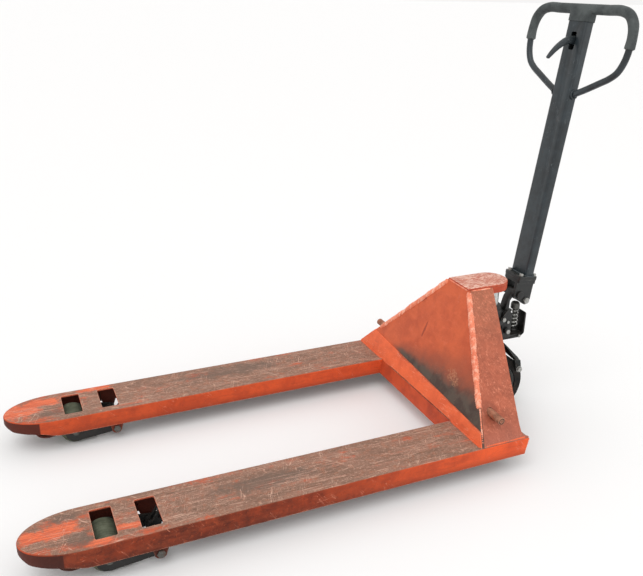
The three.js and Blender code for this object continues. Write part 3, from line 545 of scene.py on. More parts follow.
def paint_panel(kind):
    m = Mat("paint_" + kind)
    big = m.noise(4.5, 4, 0.6)
    med = m.noise(24, 6, 0.62, 0.3)
    fine = m.noise(170, 5, 0.7)
    if kind == "front":
        base = m.mix(m.step(med, 0.34, 0.7), lin(204, 94, 54), lin(184, 80, 46))
        base = m.mix(m.mul(m.step(m.noise(1.0, 6, 0.75, vec=m.mapped((20, 26, 90))), 0.5, 0.66), 0.3), base, lin(216, 108, 70))
        base = m.mix(m.mul(m.step(big, 0.5, 0.62), 0.35), base, lin(172, 74, 46))
    elif kind == "side":
        base = m.mix(m.step(med, 0.34, 0.7), lin(172, 90, 64), lin(146, 76, 54))
        hi = m.step(m.z, hz(150), hz(290))
        base = m.mix(m.mul(hi, 0.45), base, lin(160, 104, 78))
        base = m.mix(m.mul(m.step(m.noise(120, 6, 0.8), 0.46, 0.66), 0.45), base, lin(206, 116, 86))
    elif kind == "strip":
        base = m.mix(m.step(med, 0.34, 0.7), lin(232, 104, 58), lin(212, 90, 50))
    elif kind == "bead":
        base = m.mix(m.step(med, 0.34, 0.66), lin(238, 138, 104), lin(222, 116, 84))
        base = m.mix(m.mul(m.step(m.noise(1.0, 5, 0.75, vec=m.mapped((90, 90, 26))), 0.46, 0.60), 0.75), base, lin(246, 188, 162))
        base = m.mix(m.mul(m.step(m.noise(150, 5, 0.75), 0.56, 0.66), 0.6), base, lin(178, 84, 60))
    elif kind == "cap":
        base = m.mix(m.step(med, 0.34, 0.7), lin(190, 76, 42), lin(164, 58, 32))
    else:
        base = m.mix(m.step(med, 0.34, 0.7), lin(200, 78, 38), lin(170, 62, 32))
    col = base
    wob = m.noise(26, 6, 0.72)
    if kind in ("front", "strip"):
        # grease that has run down the panel and gathered on the strip's upper edge
        zk = m.lin(m.y, -0.330, 0.330, hz(30), hz(58))
        w = m.add(m.lin(m.y, -0.34, -0.18, 0.086, 0.070), m.lin(m.y, -0.18, 0.12, 0.0, -0.052), m.lin(m.y, 0.12, 0.2, 0.0, -0.014))
        up = m.ma("DIVIDE", m.ma("SUBTRACT", m.z, zk), m.ma("MAXIMUM", w, 0.001))
        up = m.add(up, m.mul(m.ma("SUBTRACT", wob, 0.5), 0.9), m.mul(m.ma("SUBTRACT", m.noise(5, 3, 0.5), 0.5), 0.6))
        left = m.step(m.y, 0.19, 0.10)
        if kind == "front":
            g = m.mul(m.step(up, 0.35, 1.25, 1.0, 0.0), left)
            g2 = m.mul(m.step(up, 0.9, 2.3, 1.0, 0.0), left)
            col = m.mix(m.mul(g2, 0.62), col, lin(128, 74, 56))
            grease = m.mix(m.step(med, 0.4, 0.6), lin(52, 54, 50), lin(74, 74, 66))
            col = m.mix(m.mul(g, 0.93), col, grease)
            sp = m.ma("MAXIMUM", m.spot((-110, -128, 96), (60, 22, 13), m.noise(70, 5, 0.7), 1.4), m.spot((-114, -150, 84), (60, 12, 9), m.noise(90, 5, 0.7), 1.3))
            sline = m.ma("MAXIMUM", m.lines((0.6, 0, 0), (60, 70, 300), 0.05, keep=0.30, patch=20), m.lines((-0.7, 0, 0), (60, 90, 260), 0.05, loc=(3, 3, 3), keep=0.30, patch=20))
            col = m.mix(m.mul(sp, sline, 0.65), col, lin(196, 140, 104))
        else:
            g = m.mul(m.step(m.z, m.add(zk, -0.004), m.add(zk, 0.001)), left, m.step(wob, 0.4, 0.6))
            col = m.mix(m.mul(g, 0.6), col, lin(84, 52, 42))
    if kind == "front":
        for c, r in (((-60, 130, 214), (60, 14, 7)), ((-62, 112, 222), (60, 5, 3)), ((-100, 60, 150), (60, 4, 22))):
            col = m.mix(m.mul(m.spot(c, r, m.noise(120, 5, 0.7), 1.0), 0.7), col, lin(132, 52, 36))
    if kind == "side":
        sv = m.ma("MAXIMUM", m.lines((0, 0.10, 0), (120, 60, 6), 0.016, keep=0.42, patch=8), m.lines((0, 0.28, 0), (150, 60, 7), 0.018, loc=(5, 1, 2), keep=0.46, patch=8))
        sh = m.ma("MAXIMUM", m.lines((0, -0.5, 0), (14, 60, 170), 0.013, keep=0.57), m.lines((0, 0.4, 0), (16, 60, 190), 0.012, loc=(1, 4, 9), keep=0.60))
        col = m.mix(m.mul(m.ma("MAXIMUM", sv, sh), 0.62), col, lin(222, 138, 108))
        col = m.mix(m.mul(m.step(m.noise(1.0, 5, 0.7, vec=m.mapped((60, 30, 14))), 0.56, 0.72), 0.35), col, lin(140, 66, 50))
        ch = m.spot((-118, -275, 84), (10, 30, 9), m.noise(120, 5, 0.7), 1.0)
        col = m.mix(m.mul(ch, 0.8), col, lin(232, 158, 134))
        low = m.step(m.add(m.z, m.mul(m.ma("SUBTRACT", wob, 0.5), 0.05)), hz(2), hz(60), 1.0, 0.0)
        col = m.mix(m.mul(low, 0.5), col, lin(156, 92, 76))
        # painted shade round the base of the rocker shaft stub, where it leaves the panel
        stub_shade = m.spot((-87, -285, 60), (24, 40, 24), wob, 0.8, 0.3)
        col = m.mix(m.mul(stub_shade, 0.5), col, lin(126, 64, 46))
    if kind == "cap":
        top = m.step(m.nz, 0.5, 0.92)
        wc = m.mix(m.step(fine, 0.4, 0.65), lin(240, 206, 188), lin(214, 160, 138))
        sx = m.ma("MAXIMUM", m.lines((0, 0, 0.9), (14, 150, 60), 0.05, keep=0.36, patch=14), m.lines((0, 0, -0.5), (14, 190, 60), 0.05, loc=(4, 4, 4), keep=0.38, patch=14))
        rub = m.step(m.add(m.mul(m.noise(30, 6, 0.7), 0.7), m.mul(sx, 0.3)), 0.36, 0.50)
        col = m.mix(m.mul(top, m.add(0.25, m.mul(rub, 0.65))), col, wc)
        col = m.mix(m.mul(top, m.step(m.noise(48, 5, 0.7), 0.56, 0.68), 0.7), col, lin(196, 96, 66))
    if kind in ("strip", "beam"):
        ln = m.step(m.ma("ABSOLUTE", m.add(m.ma("SUBTRACT", m.z, hz(0.6)), m.mul(m.ma("SUBTRACT", m.noise(30, 3, 0.6), 0.5), 0.003))), 0.0010, 0.0024, 1.0, 0.0)
        ln = m.mul(ln, m.step(m.noise(9, 4, 0.6), 0.40, 0.48), m.step(m.ma("ABSOLUTE", m.y), 0.215, 0.190))
        col = m.mix(m.mul(ln, 0.95), col, lin(44, 18, 12))
    if kind == "strip":
        st = m.ma("MAXIMUM", m.lines((0, 0, 1.5), (8, 170, 120), 0.014, keep=0.5), m.lines((0.2, 0, 0), (60, 10, 220), 0.014, keep=0.5))
        col = m.mix(m.mul(st, 0.6), col, lin(240, 158, 126))
        col = m.mix(m.mul(m.step(m.noise(1.0, 5, 0.7, vec=m.mapped((30, 12, 60))), 0.58, 0.7), 0.35), col, lin(164, 72, 48))
    if kind == "bead":
        col = m.mix(m.mul(m.step(m.noise(60, 5, 0.7), 0.54, 0.66), 0.6), col, lin(244, 158, 128))
        col = m.mix(m.mul(m.step(m.noise(40, 5, 0.7, 0.5), 0.70, 0.80), 0.3), col, lin(190, 96, 70))
    allsc = m.ma("MAXIMUM", m.lines((0.5, 0.3, 0), (18, 130, 130), 0.010, keep=0.61), m.lines((-0.8, 0.2, 0.5), (18, 150, 150), 0.010, loc=(6, 2, 8), keep=0.62))
    col = m.mix(m.mul(allsc, 0.5), col, lin(226, 140, 112))
    col = m.mix(m.mul(m.step(fine, 0.62, 0.72), 0.3), col, lin(116, 48, 32))
    col = m.mix(m.mul(m.step(m.noise(600, 2, 0.6), 0.4, 0.7), 0.14), col, lin(120, 60, 44))
    e = m.edge(0.003)
    em = m.mul(e, m.step(m.noise(55, 5, 0.7), 0.42, 0.58))
    col = m.mix(m.mul(em, 0.62), col, lin(224, 150, 122))
    em2 = m.mul(e, m.step(m.noise(30, 5, 0.7), 0.62, 0.70))
    col = m.mix(m.mul(em2, 0.75), col, lin(92, 50, 38))
    m.bump(m.add(m.mul(med, 0.6), m.mul(fine, 0.3), m.mul(allsc, -0.4)), 0.3, 0.0008)
    return m.done(col, m.add(0.50, m.mul(fine, 0.2)), 0.0, 0.34)


def black(name, c0=(40, 44, 47), c1=(58, 63, 66), wear=(120, 122, 120), amount=0.6, rough=0.42, grease=0.0, along=None):
    m = Mat(name)
    big = m.noise(9, 4, 0.6)
    med = m.noise(40, 6, 0.65)
    fine = m.noise(260, 5, 0.7)
    col = m.mix(m.step(med, 0.35, 0.68), lin(*c0), lin(*c1))
    col = m.mix(m.mul(m.step(big, 0.48, 0.62), 0.4), col, lin(*[min(255, int(x * 1.25)) for x in c1]))
    sc = m.ma("MAXIMUM", m.lines((0.2, 0.13, 0), (160, 160, 12), 0.012, keep=0.57), m.lines((1.2, 0.4, 0.3), (15, 190, 190), 0.012, loc=(3, 5, 1), keep=0.60))
    col = m.mix(m.mul(sc, 0.5), col, lin(*wear))
    e = m.edge(0.0025)
    em = m.mul(e, m.step(m.noise(90, 5, 0.7), 0.46, 0.60))
    col = m.mix(m.mul(em, amount), col, lin(*wear))
    chips = m.step(m.noise(75, 6, 0.75), 0.66, 0.70)
    col = m.mix(m.mul(chips, 0.7 * amount), col, lin(132, 128, 122))
    col = m.mix(m.mul(m.step(m.noise(55, 6, 0.7, 0.4), 0.63, 0.72), 0.5), col, lin(84, 58, 44))
    dust = m.mul(m.step(m.nz, 0.2, 1.0), m.step(m.noise(30, 5, 0.7), 0.35, 0.7), 0.16)
    col = m.mix(dust, col, lin(116, 112, 104))
    if grease:
        g = m.mul(m.step(m.noise(28, 5, 0.6, 0.5), 0.45, 0.62), grease)
        col = m.mix(g, col, lin(24, 22, 20))
        r = m.ma("SUBTRACT", m.add(rough, m.mul(fine, 0.25)), m.mul(g, 0.25))
    else:
        r = m.add(rough, m.mul(fine, 0.22), m.mul(dust, 0.5))
    m.bump(m.add(m.mul(med, 0.4), m.mul(fine, 0.4), m.mul(sc, -0.4), m.mul(chips, -0.4)), 0.3, 0.0005)
    return m.done(col, r, 0.0, 0.5)


def metal(name, c0, c1, rust=0.35, rough=0.32, metallic=0.9):
    m = Mat(name)
    med = m.noise(60, 6, 0.65)
    fine = m.noise(400, 4, 0.7)
    brush = m.noise(1.0, 3, 0.6, vec=m.mapped((90, 90, 1100)))
    col = m.mix(m.step(brush, 0.35, 0.65), lin(*c0), lin(*c1))
    ru = m.mul(m.step(m.add(m.mul(med, 0.7), m.mul(m.noise(18, 4, 0.6), 0.3)), 0.52, 0.62), rust)
    col = m.mix(ru, col, m.mix(m.step(fine, 0.4, 0.6), lin(96, 62, 44), lin(64, 42, 32)))
    dirt = m.mul(m.step(m.noise(45, 5, 0.6, 0.4), 0.5, 0.68), 0.5)
    col = m.mix(dirt, col, lin(46, 44, 40))
    m.bump(m.add(m.mul(brush, 0.3), m.mul(fine, 0.3), m.mul(ru, 0.6)), 0.25, 0.0003)
    mt = m.ma("MULTIPLY", m.inv(m.ma("MAXIMUM", ru, dirt)), metallic)
    return m.done(col, m.add(rough, m.mul(ru, 0.6), m.mul(fine, 0.15), m.mul(dirt, 0.3)), mt, 0.5)


def rusty(name):
    m = Mat(name)
    med = m.noise(70, 6, 0.7)
    fine = m.noise(420, 4, 0.7)
    col = m.mix(m.step(med, 0.35, 0.65), lin(172, 118, 92), lin(128, 82, 62))
    rr = m.ma("SQRT", m.add(m.ma("POWER", m.ma("SUBTRACT", m.x, hx(-87)), 2.0), m.ma("POWER", m.ma("SUBTRACT", m.z, hz(60)), 2.0)))
    endf = m.step(m.ma("ABSOLUTE", m.ny), 0.8, 0.95)
    ring = m.mul(endf, m.step(rr, 0.0050, 0.0060), m.step(rr, 0.0088, 0.0078))
    col = m.mix(m.mul(m.step(m.noise(30, 5, 0.7), 0.5, 0.66), 0.6), col, lin(176, 92, 62))
    col = m.mix(m.mul(m.step(fine, 0.55, 0.7), 0.5), col, lin(52, 34, 28))
    col = m.mix(m.mul(ring, 0.85), col, lin(60, 34, 26))
    # lighter edges: rubbed paint, plus a painted highlight along them
    e = m.mul(m.edge(0.002), m.step(med, 0.3, 0.5))
    col = m.mix(m.mul(e, 0.75), col, lin(216, 176, 152))
    m.bump(m.add(m.mul(med, 0.6), m.mul(fine, 0.5)), 0.5, 0.0008)
    return m.done(col, m.add(0.62, m.mul(fine, 0.25)), 0.25, 0.4)


def cast(name, c0=(62, 66, 66), c1=(84, 88, 86), grease=0.4):
    m = Mat(name)
    med = m.noise(34, 6, 0.65)
    fine = m.noise(300, 5, 0.75)
    pit = m.voro(420)
    col = m.mix(m.step(med, 0.35, 0.65), lin(*c0), lin(*c1))
    g = m.mul(m.step(m.noise(24, 5, 0.6, 0.5), 0.42, 0.64), grease)
    col = m.mix(g, col, lin(30, 28, 25))
    e = m.mul(m.edge(0.0025), m.step(m.noise(80, 5, 0.7), 0.42, 0.6))
    col = m.mix(m.mul(e, 0.7), col, lin(150, 150, 144))
    col = m.mix(m.mul(m.step(m.noise(50, 6, 0.75), 0.6, 0.7), 0.5), col, lin(104, 70, 52))
    m.bump(m.add(m.mul(fine, 0.6), m.mul(pit, 0.5), m.mul(med, 0.5)), 0.45, 0.0008)
    return m.done(col, m.ma("SUBTRACT", m.add(0.6, m.mul(fine, 0.2)), m.mul(g, 0.3)), 0.35, 0.5)


def rubber(name, c0=(26, 26, 27), c1=(44, 43, 42), dustc=(96, 90, 82), axis=None):
    m = Mat(name)
    med = m.noise(46, 6, 0.65)
    fine = m.noise(420, 5, 0.7)
    col = m.mix(m.step(med, 0.35, 0.68), lin(*c0), lin(*c1))
    band = m.noise(1.0, 4, 0.6, vec=m.mapped((14, 260, 14)))
    col = m.mix(m.mul(m.step(band, 0.45, 0.65), 0.45), col, lin(*dustc))
    col = m.mix(m.mul(m.step(m.noise(110, 5, 0.75), 0.6, 0.7), 0.5), col, lin(*dustc))
    cuts = m.step(m.ma("ABSOLUTE", m.ma("SUBTRACT", m.noise(38, 3, 0.6), 0.5)), 0.004, 0.014, 1.0, 0.0)
    cuts = m.mul(cuts, m.step(m.noise(20, 3), 0.5, 0.6))
    m.bump(m.add(m.mul(fine, 0.4), m.mul(med, 0.4), m.mul(cuts, -1.0), m.mul(band, 0.3)), 0.4, 0.0008)
    return m.done(col, m.add(0.68, m.mul(fine, 0.25)), 0.0, 0.35)


def grip_mat(name):
    m = Mat(name)
    med = m.noise(30, 5, 0.6)
    fine = m.noise(900, 3, 0.7)
    grain = m.voro(700)
    col = m.mix(m.step(med, 0.35, 0.68), lin(42, 47, 48), lin(60, 66, 66))
    rub = m.mul(m.step(m.noise(12, 4, 0.6), 0.45, 0.62), 0.5)
    col = m.mix(rub, col, lin(84, 90, 89))
    sc = m.ma("MAXIMUM", m.lines((0, 0, 1.4), (12, 160, 160), 0.012, keep=0.55), m.lines((0.9, 0.3, 0), (18, 190, 190), 0.012, loc=(2, 6, 4), keep=0.58))
    col = m.mix(m.mul(sc, 0.5), col, lin(124, 128, 126))
    col = m.mix(m.mul(m.step(m.noise(60, 6, 0.75), 0.6, 0.7), 0.5), col, lin(28, 31, 31))
    m.bump(m.add(m.mul(grain, 0.5), m.mul(fine, 0.3), m.mul(sc, -0.5)), 0.3, 0.0004)
    return m.done(col, m.add(0.52, m.mul(fine, 0.15), m.mul(rub, -0.12)), 0.0, 0.45)


M_FORK = paint_fork()
M_FRONT, M_SIDE, M_STRIP, M_BEAD, M_CAP, M_BEAM = [paint_panel(k) for k in ("front", "side", "strip", "bead", "cap", "beam")]
M_HANDLE = black("black_handle", (21, 28, 32), (35, 44, 49), (120, 128, 132), 0.5, 0.28)
M_PUMP = black("black_pump", (7, 8, 8), (17, 18, 18), (120, 118, 112), 0.6, 0.38, 0.6)
M_YOKE = black("black_yoke", (14, 16, 16), (26, 29, 29), (120, 120, 116), 0.6, 0.36, 0.5)
M_WFRAME = black("black_wheelframe", (16, 16, 15), (30, 28, 26), (92, 84, 76), 0.6, 0.5, 0.5)
M_BRIGHT = metal("bright_steel", (186, 186, 182), (150, 150, 146), 0.30, 0.30)
M_RAM = metal("ram_steel", (206, 210, 208), (176, 180, 178), 0.06, 0.2, 0.85)
M_RUST = rusty("shaft_rust")
M_CAST = cast("linkage_cast")
M_GUARD = cast("guard_cast", (22, 25, 25), (40, 43, 42), 0.3)
M_HUB = cast("hub_cast", (38, 40, 40), (58, 60, 58), 0.5)
M_TYRE = rubber("tyre_rubber", (9, 8, 8), (18, 16, 14), (58, 48, 38))
M_SPRING = metal("spring_steel", (226, 226, 222), (196, 196, 192), 0.08, 0.22, 0.8)
M_DARKBOLT = metal("dark_bolt", (112, 112, 108), (84, 84, 80), 0.55, 0.42)
M_ROLL = rubber("roller_tread", (78, 83, 66), (102, 107, 88), (60, 62, 50))
M_GRIP = grip_mat("grip_mould")

SLOTMAT = {"frame_paint": M_BEAM, "ram_steel": M_RAM, "shaft_steel": M_RUST, "linkage_iron": M_CAST, "black_paint": M_PUMP,
           "bright_steel": M_BRIGHT, "hub_iron": M_HUB, "tyre_rubber": M_TYRE, "roller_tread": M_ROLL, "grip_mould": M_GRIP}
slot_of = {s["node"]: s["material_slot"] for s in frame["record"]["subparts"]}
for name, o in N.items():
    mat = SLOTMAT[slot_of[name]]
    if name.startswith("wheel_frame"):
        mat = M_WFRAME
    if name.startswith("toe_guard"):
        mat = M_GUARD
    if name in ("yoke", "handle_flange"):
        mat = M_YOKE
    if name == "release_lever":
        mat = M_HANDLE
    if name == "valve_lever":
        mat = M_PUMP
    if name == "plunger_spring":
        mat = M_SPRING
    o.data.materials.clear()
    o.data.materials.append(mat)
    for p in o.data.polygons:
        p.use_smooth = True
        p.material_index = 0
    try:
        o.data.set_sharp_from_angle(angle=math.radians(35))
    except Exception:
        pass
    w = {"yoke": 1.2, "toe_guard_left": 2.5, "toe_guard_right": 2.5, "wheel_frame_left": 0.8, "wheel_frame_right": 0.8,
         "cross_beam": 1.2, "handle_flange": 1.0, "axle_column": 1.5, "push_rod_left": 0.7, "push_rod_right": 0.7,
         "release_lever": 1.2, "valve_lever": 0.7}.get(name)
    if w:
        bm = o.modifiers.new("bevel", "BEVEL")
        bm.width, bm.segments, bm.limit_method, bm.angle_limit = w / 1000, 2, "ANGLE", math.radians(38)
    if name == "plunger_spring":
        o.data.polygons.foreach_set("use_smooth", [True] * len(o.data.polygons))
        s = o.modifiers.new("round", "SUBSURF")
        s.levels = s.render_levels = 2

# --------------------------------------------------------------------- forks
FW, FLEN, FT, TIPX, FH = 75.0, 1244.0, 5.0, -1115.0, 48.0


def fork_loop(inset, z, n=40):
    hw, a = FW - inset, FLEN + TIPX - inset
    pts = []
    def zz(x):
        return z(x) if callable(z) else z
    def xe(zv):
        return 10.0 * zv / 48.0 - inset
    k = 40
    for i in range(k + 1):
        x = TIPX * i / k
        zv = zz(x)
        pts.append((x + xe(zv) * (1 - i / k) ** 12, -hw, zv))
    for i in range(1, n):
        t = math.pi * i / n
        x, y = TIPX - a * math.sin(t), -hw * math.cos(t)
        pts.append((x, y, zz(x)))
    for i in range(k + 1):
        x = TIPX * (1 - i / k)
        zv = zz(x)
        pts.append((x + xe(zv) * (i / k) ** 12, hw, zv))
    return pts


def zlow(x):
    if x > -1100:
        return -FH
    if x > -1166:
        t = (x + 1100) / -66.0
        return -48 + 12 * (t * t * (3 - 2 * t))
    if x > -1225:
        return -36 + 4 * (x + 1166) / -59.0
    return -32 + 10 * min(1.0, (x + 1225) / -19.0)


def fill(outer, holes, z, up):
    """A flat face with holes at height z."""
    from mathutils.geometry import delaunay_2d_cdt
    vs, es = [], []
    for loop in [outer] + holes:
        o = len(vs)
        vs += [Vector((p[0], p[1])) for p in loop]
        es += [(o + i, o + (i + 1) % len(loop)) for i in range(len(loop))]
    v2, e2, f2, _, _, _ = delaunay_2d_cdt(vs, es, [], 0, 1e-5)
    def inside(x, y, loop):
        c = False
        for i in range(len(loop)):
            a, b = loop[i], loop[i - 1]
            if (a[1] > y) != (b[1] > y) and x < (b[0] - a[0]) * (y - a[1]) / (b[1] - a[1]) + a[0]:
                c = not c
        return c
    g = G()
    f = []
    for t in f2:
        cx, cy = sum(v2[i].x for i in t) / 3, sum(v2[i].y for i in t) / 3
        if inside(cx, cy, outer) and not any(inside(cx, cy, h) for h in holes):
            f.append(tuple(t))
    return g.add([(v.x, v.y, z) for v in v2], f)


def open_rings(loops):
    return rings(loops, cap0=False, cap1=False)


def fork_geo():
    g = G()
    R = 5.0
    outs = []
    for k in range(7):
        a = math.pi / 2 * k / 6
        outs.append(fork_loop(R * (1 - math.sin(a)), -R * (1 - math.cos(a))))
    outs.append(fork_loop(0, lambda x: max(-20.0, zlow(x) * 0.5)))
    outs.append(fork_loop(0, lambda x: zlow(x) + 1.2))
    outs.append(fork_loop(0.5, lambda x: zlow(x) + 0.25))
    outs.append(fork_loop(1.4, zlow))
    outs.append(fork_loop(FT - 1.0, zlow))
    outs.append(fork_loop(FT, lambda x: zlow(x) + 0.8))
    outs.append(fork_loop(FT, -9.0))
    outs.append(fork_loop(FT + 1.2, -6.0))
    outs.append(fork_loop(FT + 3.5, -FT))
    g.join(open_rings(outs))
    holes = []
    for x0, x1 in ((-1092, -1045), (-994, -949)):
        holes.append(rrect(x1 - x0, 102, 4.5, 5, (x0 + x1) / 2, 0))
    hole3 = rrect(98, 32, 3, 3, -83, 25.5)
    tops = [p[:2] for p in outs[0]]
    bots = [p[:2] for p in outs[-1]]
    def grow(loop, d):
        cx = sum(p[0] for p in loop) / len(loop)
        cy = sum(p[1] for p in loop) / len(loop)
        w = max(p[0] for p in loop) - cx
        h = max(p[1] for p in loop) - cy
        return [(cx + (p[0] - cx) * (w + d) / w, cy + (p[1] - cy) * (h + d) / h) for p in loop]
    hh = holes + [hole3]
    g.join(fill(tops, [grow(h, 0.9) for h in hh], 0.0, True))
    g.join(fill(bots, hh, -FT, False))
    for h in hh:
        g.join(open_rings([[(x, y, 0.0) for x, y in grow(h, 0.9)], [(x, y, -0.25) for x, y in grow(h, 0.3)], [(x, y, -0.9) for x, y in h], [(x, y, -FT) for x, y in h]]))
    return g


def fork_parts():
    g = fork_geo()
    # outline points of the skid that climbs the boards; they are not used, only the fork is returned
    pts = []
    for i in range(17):
        t = math.pi * (1 + i / 16)
        pts.append((-1138 + 32 * math.cos(t), -38 + 20 * math.sin(t)))
    pts += [(-1106, -5.5), (-1112, -5.5)]
    for i in range(17):
        t = math.pi * (2 - i / 16)
        pts.append((-1138 + 26 * math.cos(t), -38 + 15 * math.sin(t)))
    pts += [(-1164, -5.5), (-1170, -5.5)]
    return g


def skid():
    pts = []
    for i in range(17):
        t = math.pi * (1 + i / 16)
        pts.append((-1138 + 32 * math.cos(t), -38 + 20 * math.sin(t)))
    pts += [(-1106, -5.5), (-1112, -5.5)]
    for i in range(17):
        t = math.pi * (2 - i / 16)
        pts.append((-1138 + 26 * math.cos(t), -38 + 15 * math.sin(t)))
    pts += [(-1164, -5.5), (-1170, -5.5)]
    g = prism(pts, "xz", -58, 58)
    g.join(boxg(-860, -852, -70.3, 10, -44, -4.8), boxg(-860, -852, 42, 70.3, -44, -4.8))
    tab = [(-976, -62), (-975, -68), (-971.5, -72.5), (-966, -75.4), (-960, -75.9), (-954, -73.5), (-950, -69), (-948, -62), (-940, -38), (-940, -6), (-984, -6), (-984, -38)]
    g.join(prism(tab, "xz", 64.6, 70.4), prism(tab, "xz", -70.4, -64.6), boxg(-947, -940, -70.4, 70.4, -10, -4.8))
    return g


def shift(g, dy):
    return g.map(lambda p: (p[0], p[1] + dy, p[2]))


for side, s in (("left", -1), ("right", 1)):
    gf = fork_geo()
    gs = skid()
    if s > 0:
        gf, gs = gf.mirror(), gs.mirror()
    piece("v_fork_" + side, shift(gf, s * 267.5), "frame", M_FORK, ["fork_" + side], angle=40)
    piece("v_fork_fittings_" + side, shift(gs, s * 267.5), "frame", M_FORK, bevel=0.8, seg=2)
    # pivot bolt
    g = cyl((-962, 0, -62), "y", 7, -72, 72, 0.4)
    g.join(hexhead((-962, 0, -62), "y", 10, 70.8, 75, 1), hexhead((-962, 0, -62), "y", 10, -75, -70.8, -1))
    g.join(cyl((-962, 0, -62), "y", 4, -74.9, -74, 0.3))
    piece("v_pivot_pin_" + side, shift(g, s * 267.5), "frame", M_DARKBOLT, ["pivot_pin_" + side], angle=25)

# ------------------------------------------------------------------- A-frame
px = lambda z: -146 + 0.405 * z
py = lambda z: 342.5 - 0.9593 * z
rx = lambda z: -23 + 0.26 * z


def hexa(c8):
    g = G()
    return g.add(c8, [(0, 1, 2, 3), (7, 6, 5, 4), (0, 4, 5, 1), (1, 5, 6, 2), (2, 6, 7, 3), (3, 7, 4, 0)])


def quadplate(lo, hi, off, t, y0f, y1f, nu=28, nv=14, wav=0.0):
    """Returns None: no plate is built."""
    return None


zt = 300.7
a, b = 0.3, zt
front = hexa([(px(a), -py(a), a), (px(a), py(a), a), (px(a) + 6.5, py(a), a), (px(a) + 6.5, -py(a), a),
              (px(b), -py(b), b), (px(b), py(b), b), (px(b) + 6.5, py(b), b), (px(b) + 6.5, -py(b), b)])
br = [(px(14) + 6, 14), (px(112) + 6, 112), (-72, 84), (-68, 60), (-74, 40), (-100, 14)]
brk = prism(br, "xz", -112, -104).join(prism(br, "xz", 104, 112))
piece("v_front_panel", front, "frame", M_FRONT, ["front_panel"], bevel=2.2, seg=4)
piece("v_shaft_plates", brk, "frame", M_BEAM, bevel=1.0, seg=2)

# kick strip
zl, zr = 30, 58
def ks(z, y, o):
    return (px(z) - 0.3 - o, y, z)
strip = hexa([ks(1, -py(1) + 0.4, 0), ks(1, py(1) - 0.4, 0), ks(1, py(1) - 0.4, 3.2), ks(1, -py(1) + 0.4, 3.2),
              ks(zl, -py(zl), 0), ks(zr, py(zr), 0), ks(zr, py(zr), 3.2), ks(zl, -py(zl), 3.2)])
piece("v_kick_strip", strip, "frame", M_STRIP, ["kick_strip"], bevel=1.0, seg=3)

def side_geo():
    t = 6.8
    o = [(px(0.3) + t, 0.3), (px(zt) + t, zt), (rx(zt), zt), (rx(200), 200), (rx(100), 100), (rx(50), 50), (rx(26), 26), (rx(14) + 1.5, 14), (rx(6) + 6.5, 6), (0, 0.3)]
    l1 = [(x, -py(z), z) for x, z in o]
    l2 = [(x, -py(z) + 8.3, z) for x, z in o]
    return rings([l1, l2])

for side, s in (("left", -1), ("right", 1)):
    g = side_geo()
    if s > 0:
        g = g.mirror()
    piece("v_side_panel_" + side, g, "frame", M_SIDE, ["side_panel_" + side], bevel=1.6, seg=3, limit=20,
          cuts=[lathe([[0, -60], [10.7, -60], [10.7, 60], [0, 60]], (-87, s * 290, 60), "y", 48)])


def bead(path, r, flat=0.6, up=(0, 0, 1), seed=0.0, ripple=0.12, n=12, step=1.6):
    """A hand-laid weld bead along a line, rippled and uneven."""
    P = [Vector(p) for p in path]
    pts = []
    for i in range(len(P) - 1):
        L = (P[i + 1] - P[i]).length
        k = max(2, int(L / step))
        for j in range(k):
            pts.append(P[i].lerp(P[i + 1], j / k))
    pts.append(P[-1])
    rad = []
    d = 0.0
    for i, p in enumerate(pts):
        if i:
            d += (p - pts[i - 1]).length
        w = mnoise.noise(Vector((d * 0.035, seed, 1.3)))
        w2 = mnoise.noise(Vector((d * 0.22, seed, 7.1)))
        k = 1 + ripple * math.sin(d * 1.1 + 2 * w) + 0.28 * w + 0.16 * w2
        end = min(1.0, (d + 0.5) / 7.0, (sum((pts[j] - pts[j - 1]).length for j in range(1, len(pts))) - d + 0.5) / 7.0) if False else 1.0
        rad.append(r * k * end)
    n0 = min(5, len(rad) - 1)
    for i in range(n0):
        s = math.sqrt((i + 0.3) / n0)
        rad[i] *= s
        rad[-1 - i] *= s
    wig = [p + Vector((0, mnoise.noise(Vector((i * 0.05, seed, 3))) * 0.8, 0)) for i, p in enumerate(pts)]
    return sweep([tuple(p) for p in wig], rad, n)


for side, s in (("left", -1), ("right", 1)):
    # main bead up the corner of the front and side panels
    path = [(px(z) + 4.4, s * (py(z) - 8.5 * (1 if z > 90 else 0.5 + 0.5 * z / 90)), z) for z in [66, 70, 90, 120, 160, 200, 240, 270, 297]]
    g = bead(path, 8.2, seed=2.0 + s, ripple=0.06, n=20)
    g.join(bead([(px(z) + 3.0, s * (py(z) - 2.4), z) for z in (4, 40, 75)], 2.4, seed=9 + s))
    piece("v_corner_bead_" + side, g, "frame", M_BEAD, angle=60)
    # along the foot of the side panel and across the fork top
    g = bead([(-136, s * 338.6, 1.6), (-90, s * 338.6, 1.4), (-40, s * 338.6, 1.4), (-8, s * 338.6, 1.4)], 2.4, seed=5 + s)
    g.join(bead([(-150, s * 194, 1.0), (-150, s * 260, 1.0), (-150, s * 336, 1.0)], 2.0, seed=8 + s))
    piece("v_foot_bead_" + side, g, "frame", M_STRIP, angle=60)

# cap, front and side welds
def capline(off, z, n=36):
    x0, yc, xc, r = -24, 50, 82, 50
    pts = [(x0 + off, -yc + off, z)]
    for i in range(1, 8):
        pts.append((x0 + off + (xc - x0 - off) * i / 8, -yc + off, z))
    for i in range(n + 1):
        t = -math.pi / 2 + math.pi * i / n
        pts.append((xc + (r - off) * math.cos(t), (r - off) * math.sin(t), z))
    for i in range(1, 8):
        pts.append((xc - (xc - x0 - off) * i / 8, yc - off, z))
    pts.append((x0 + off, yc - off, z))
    return pts

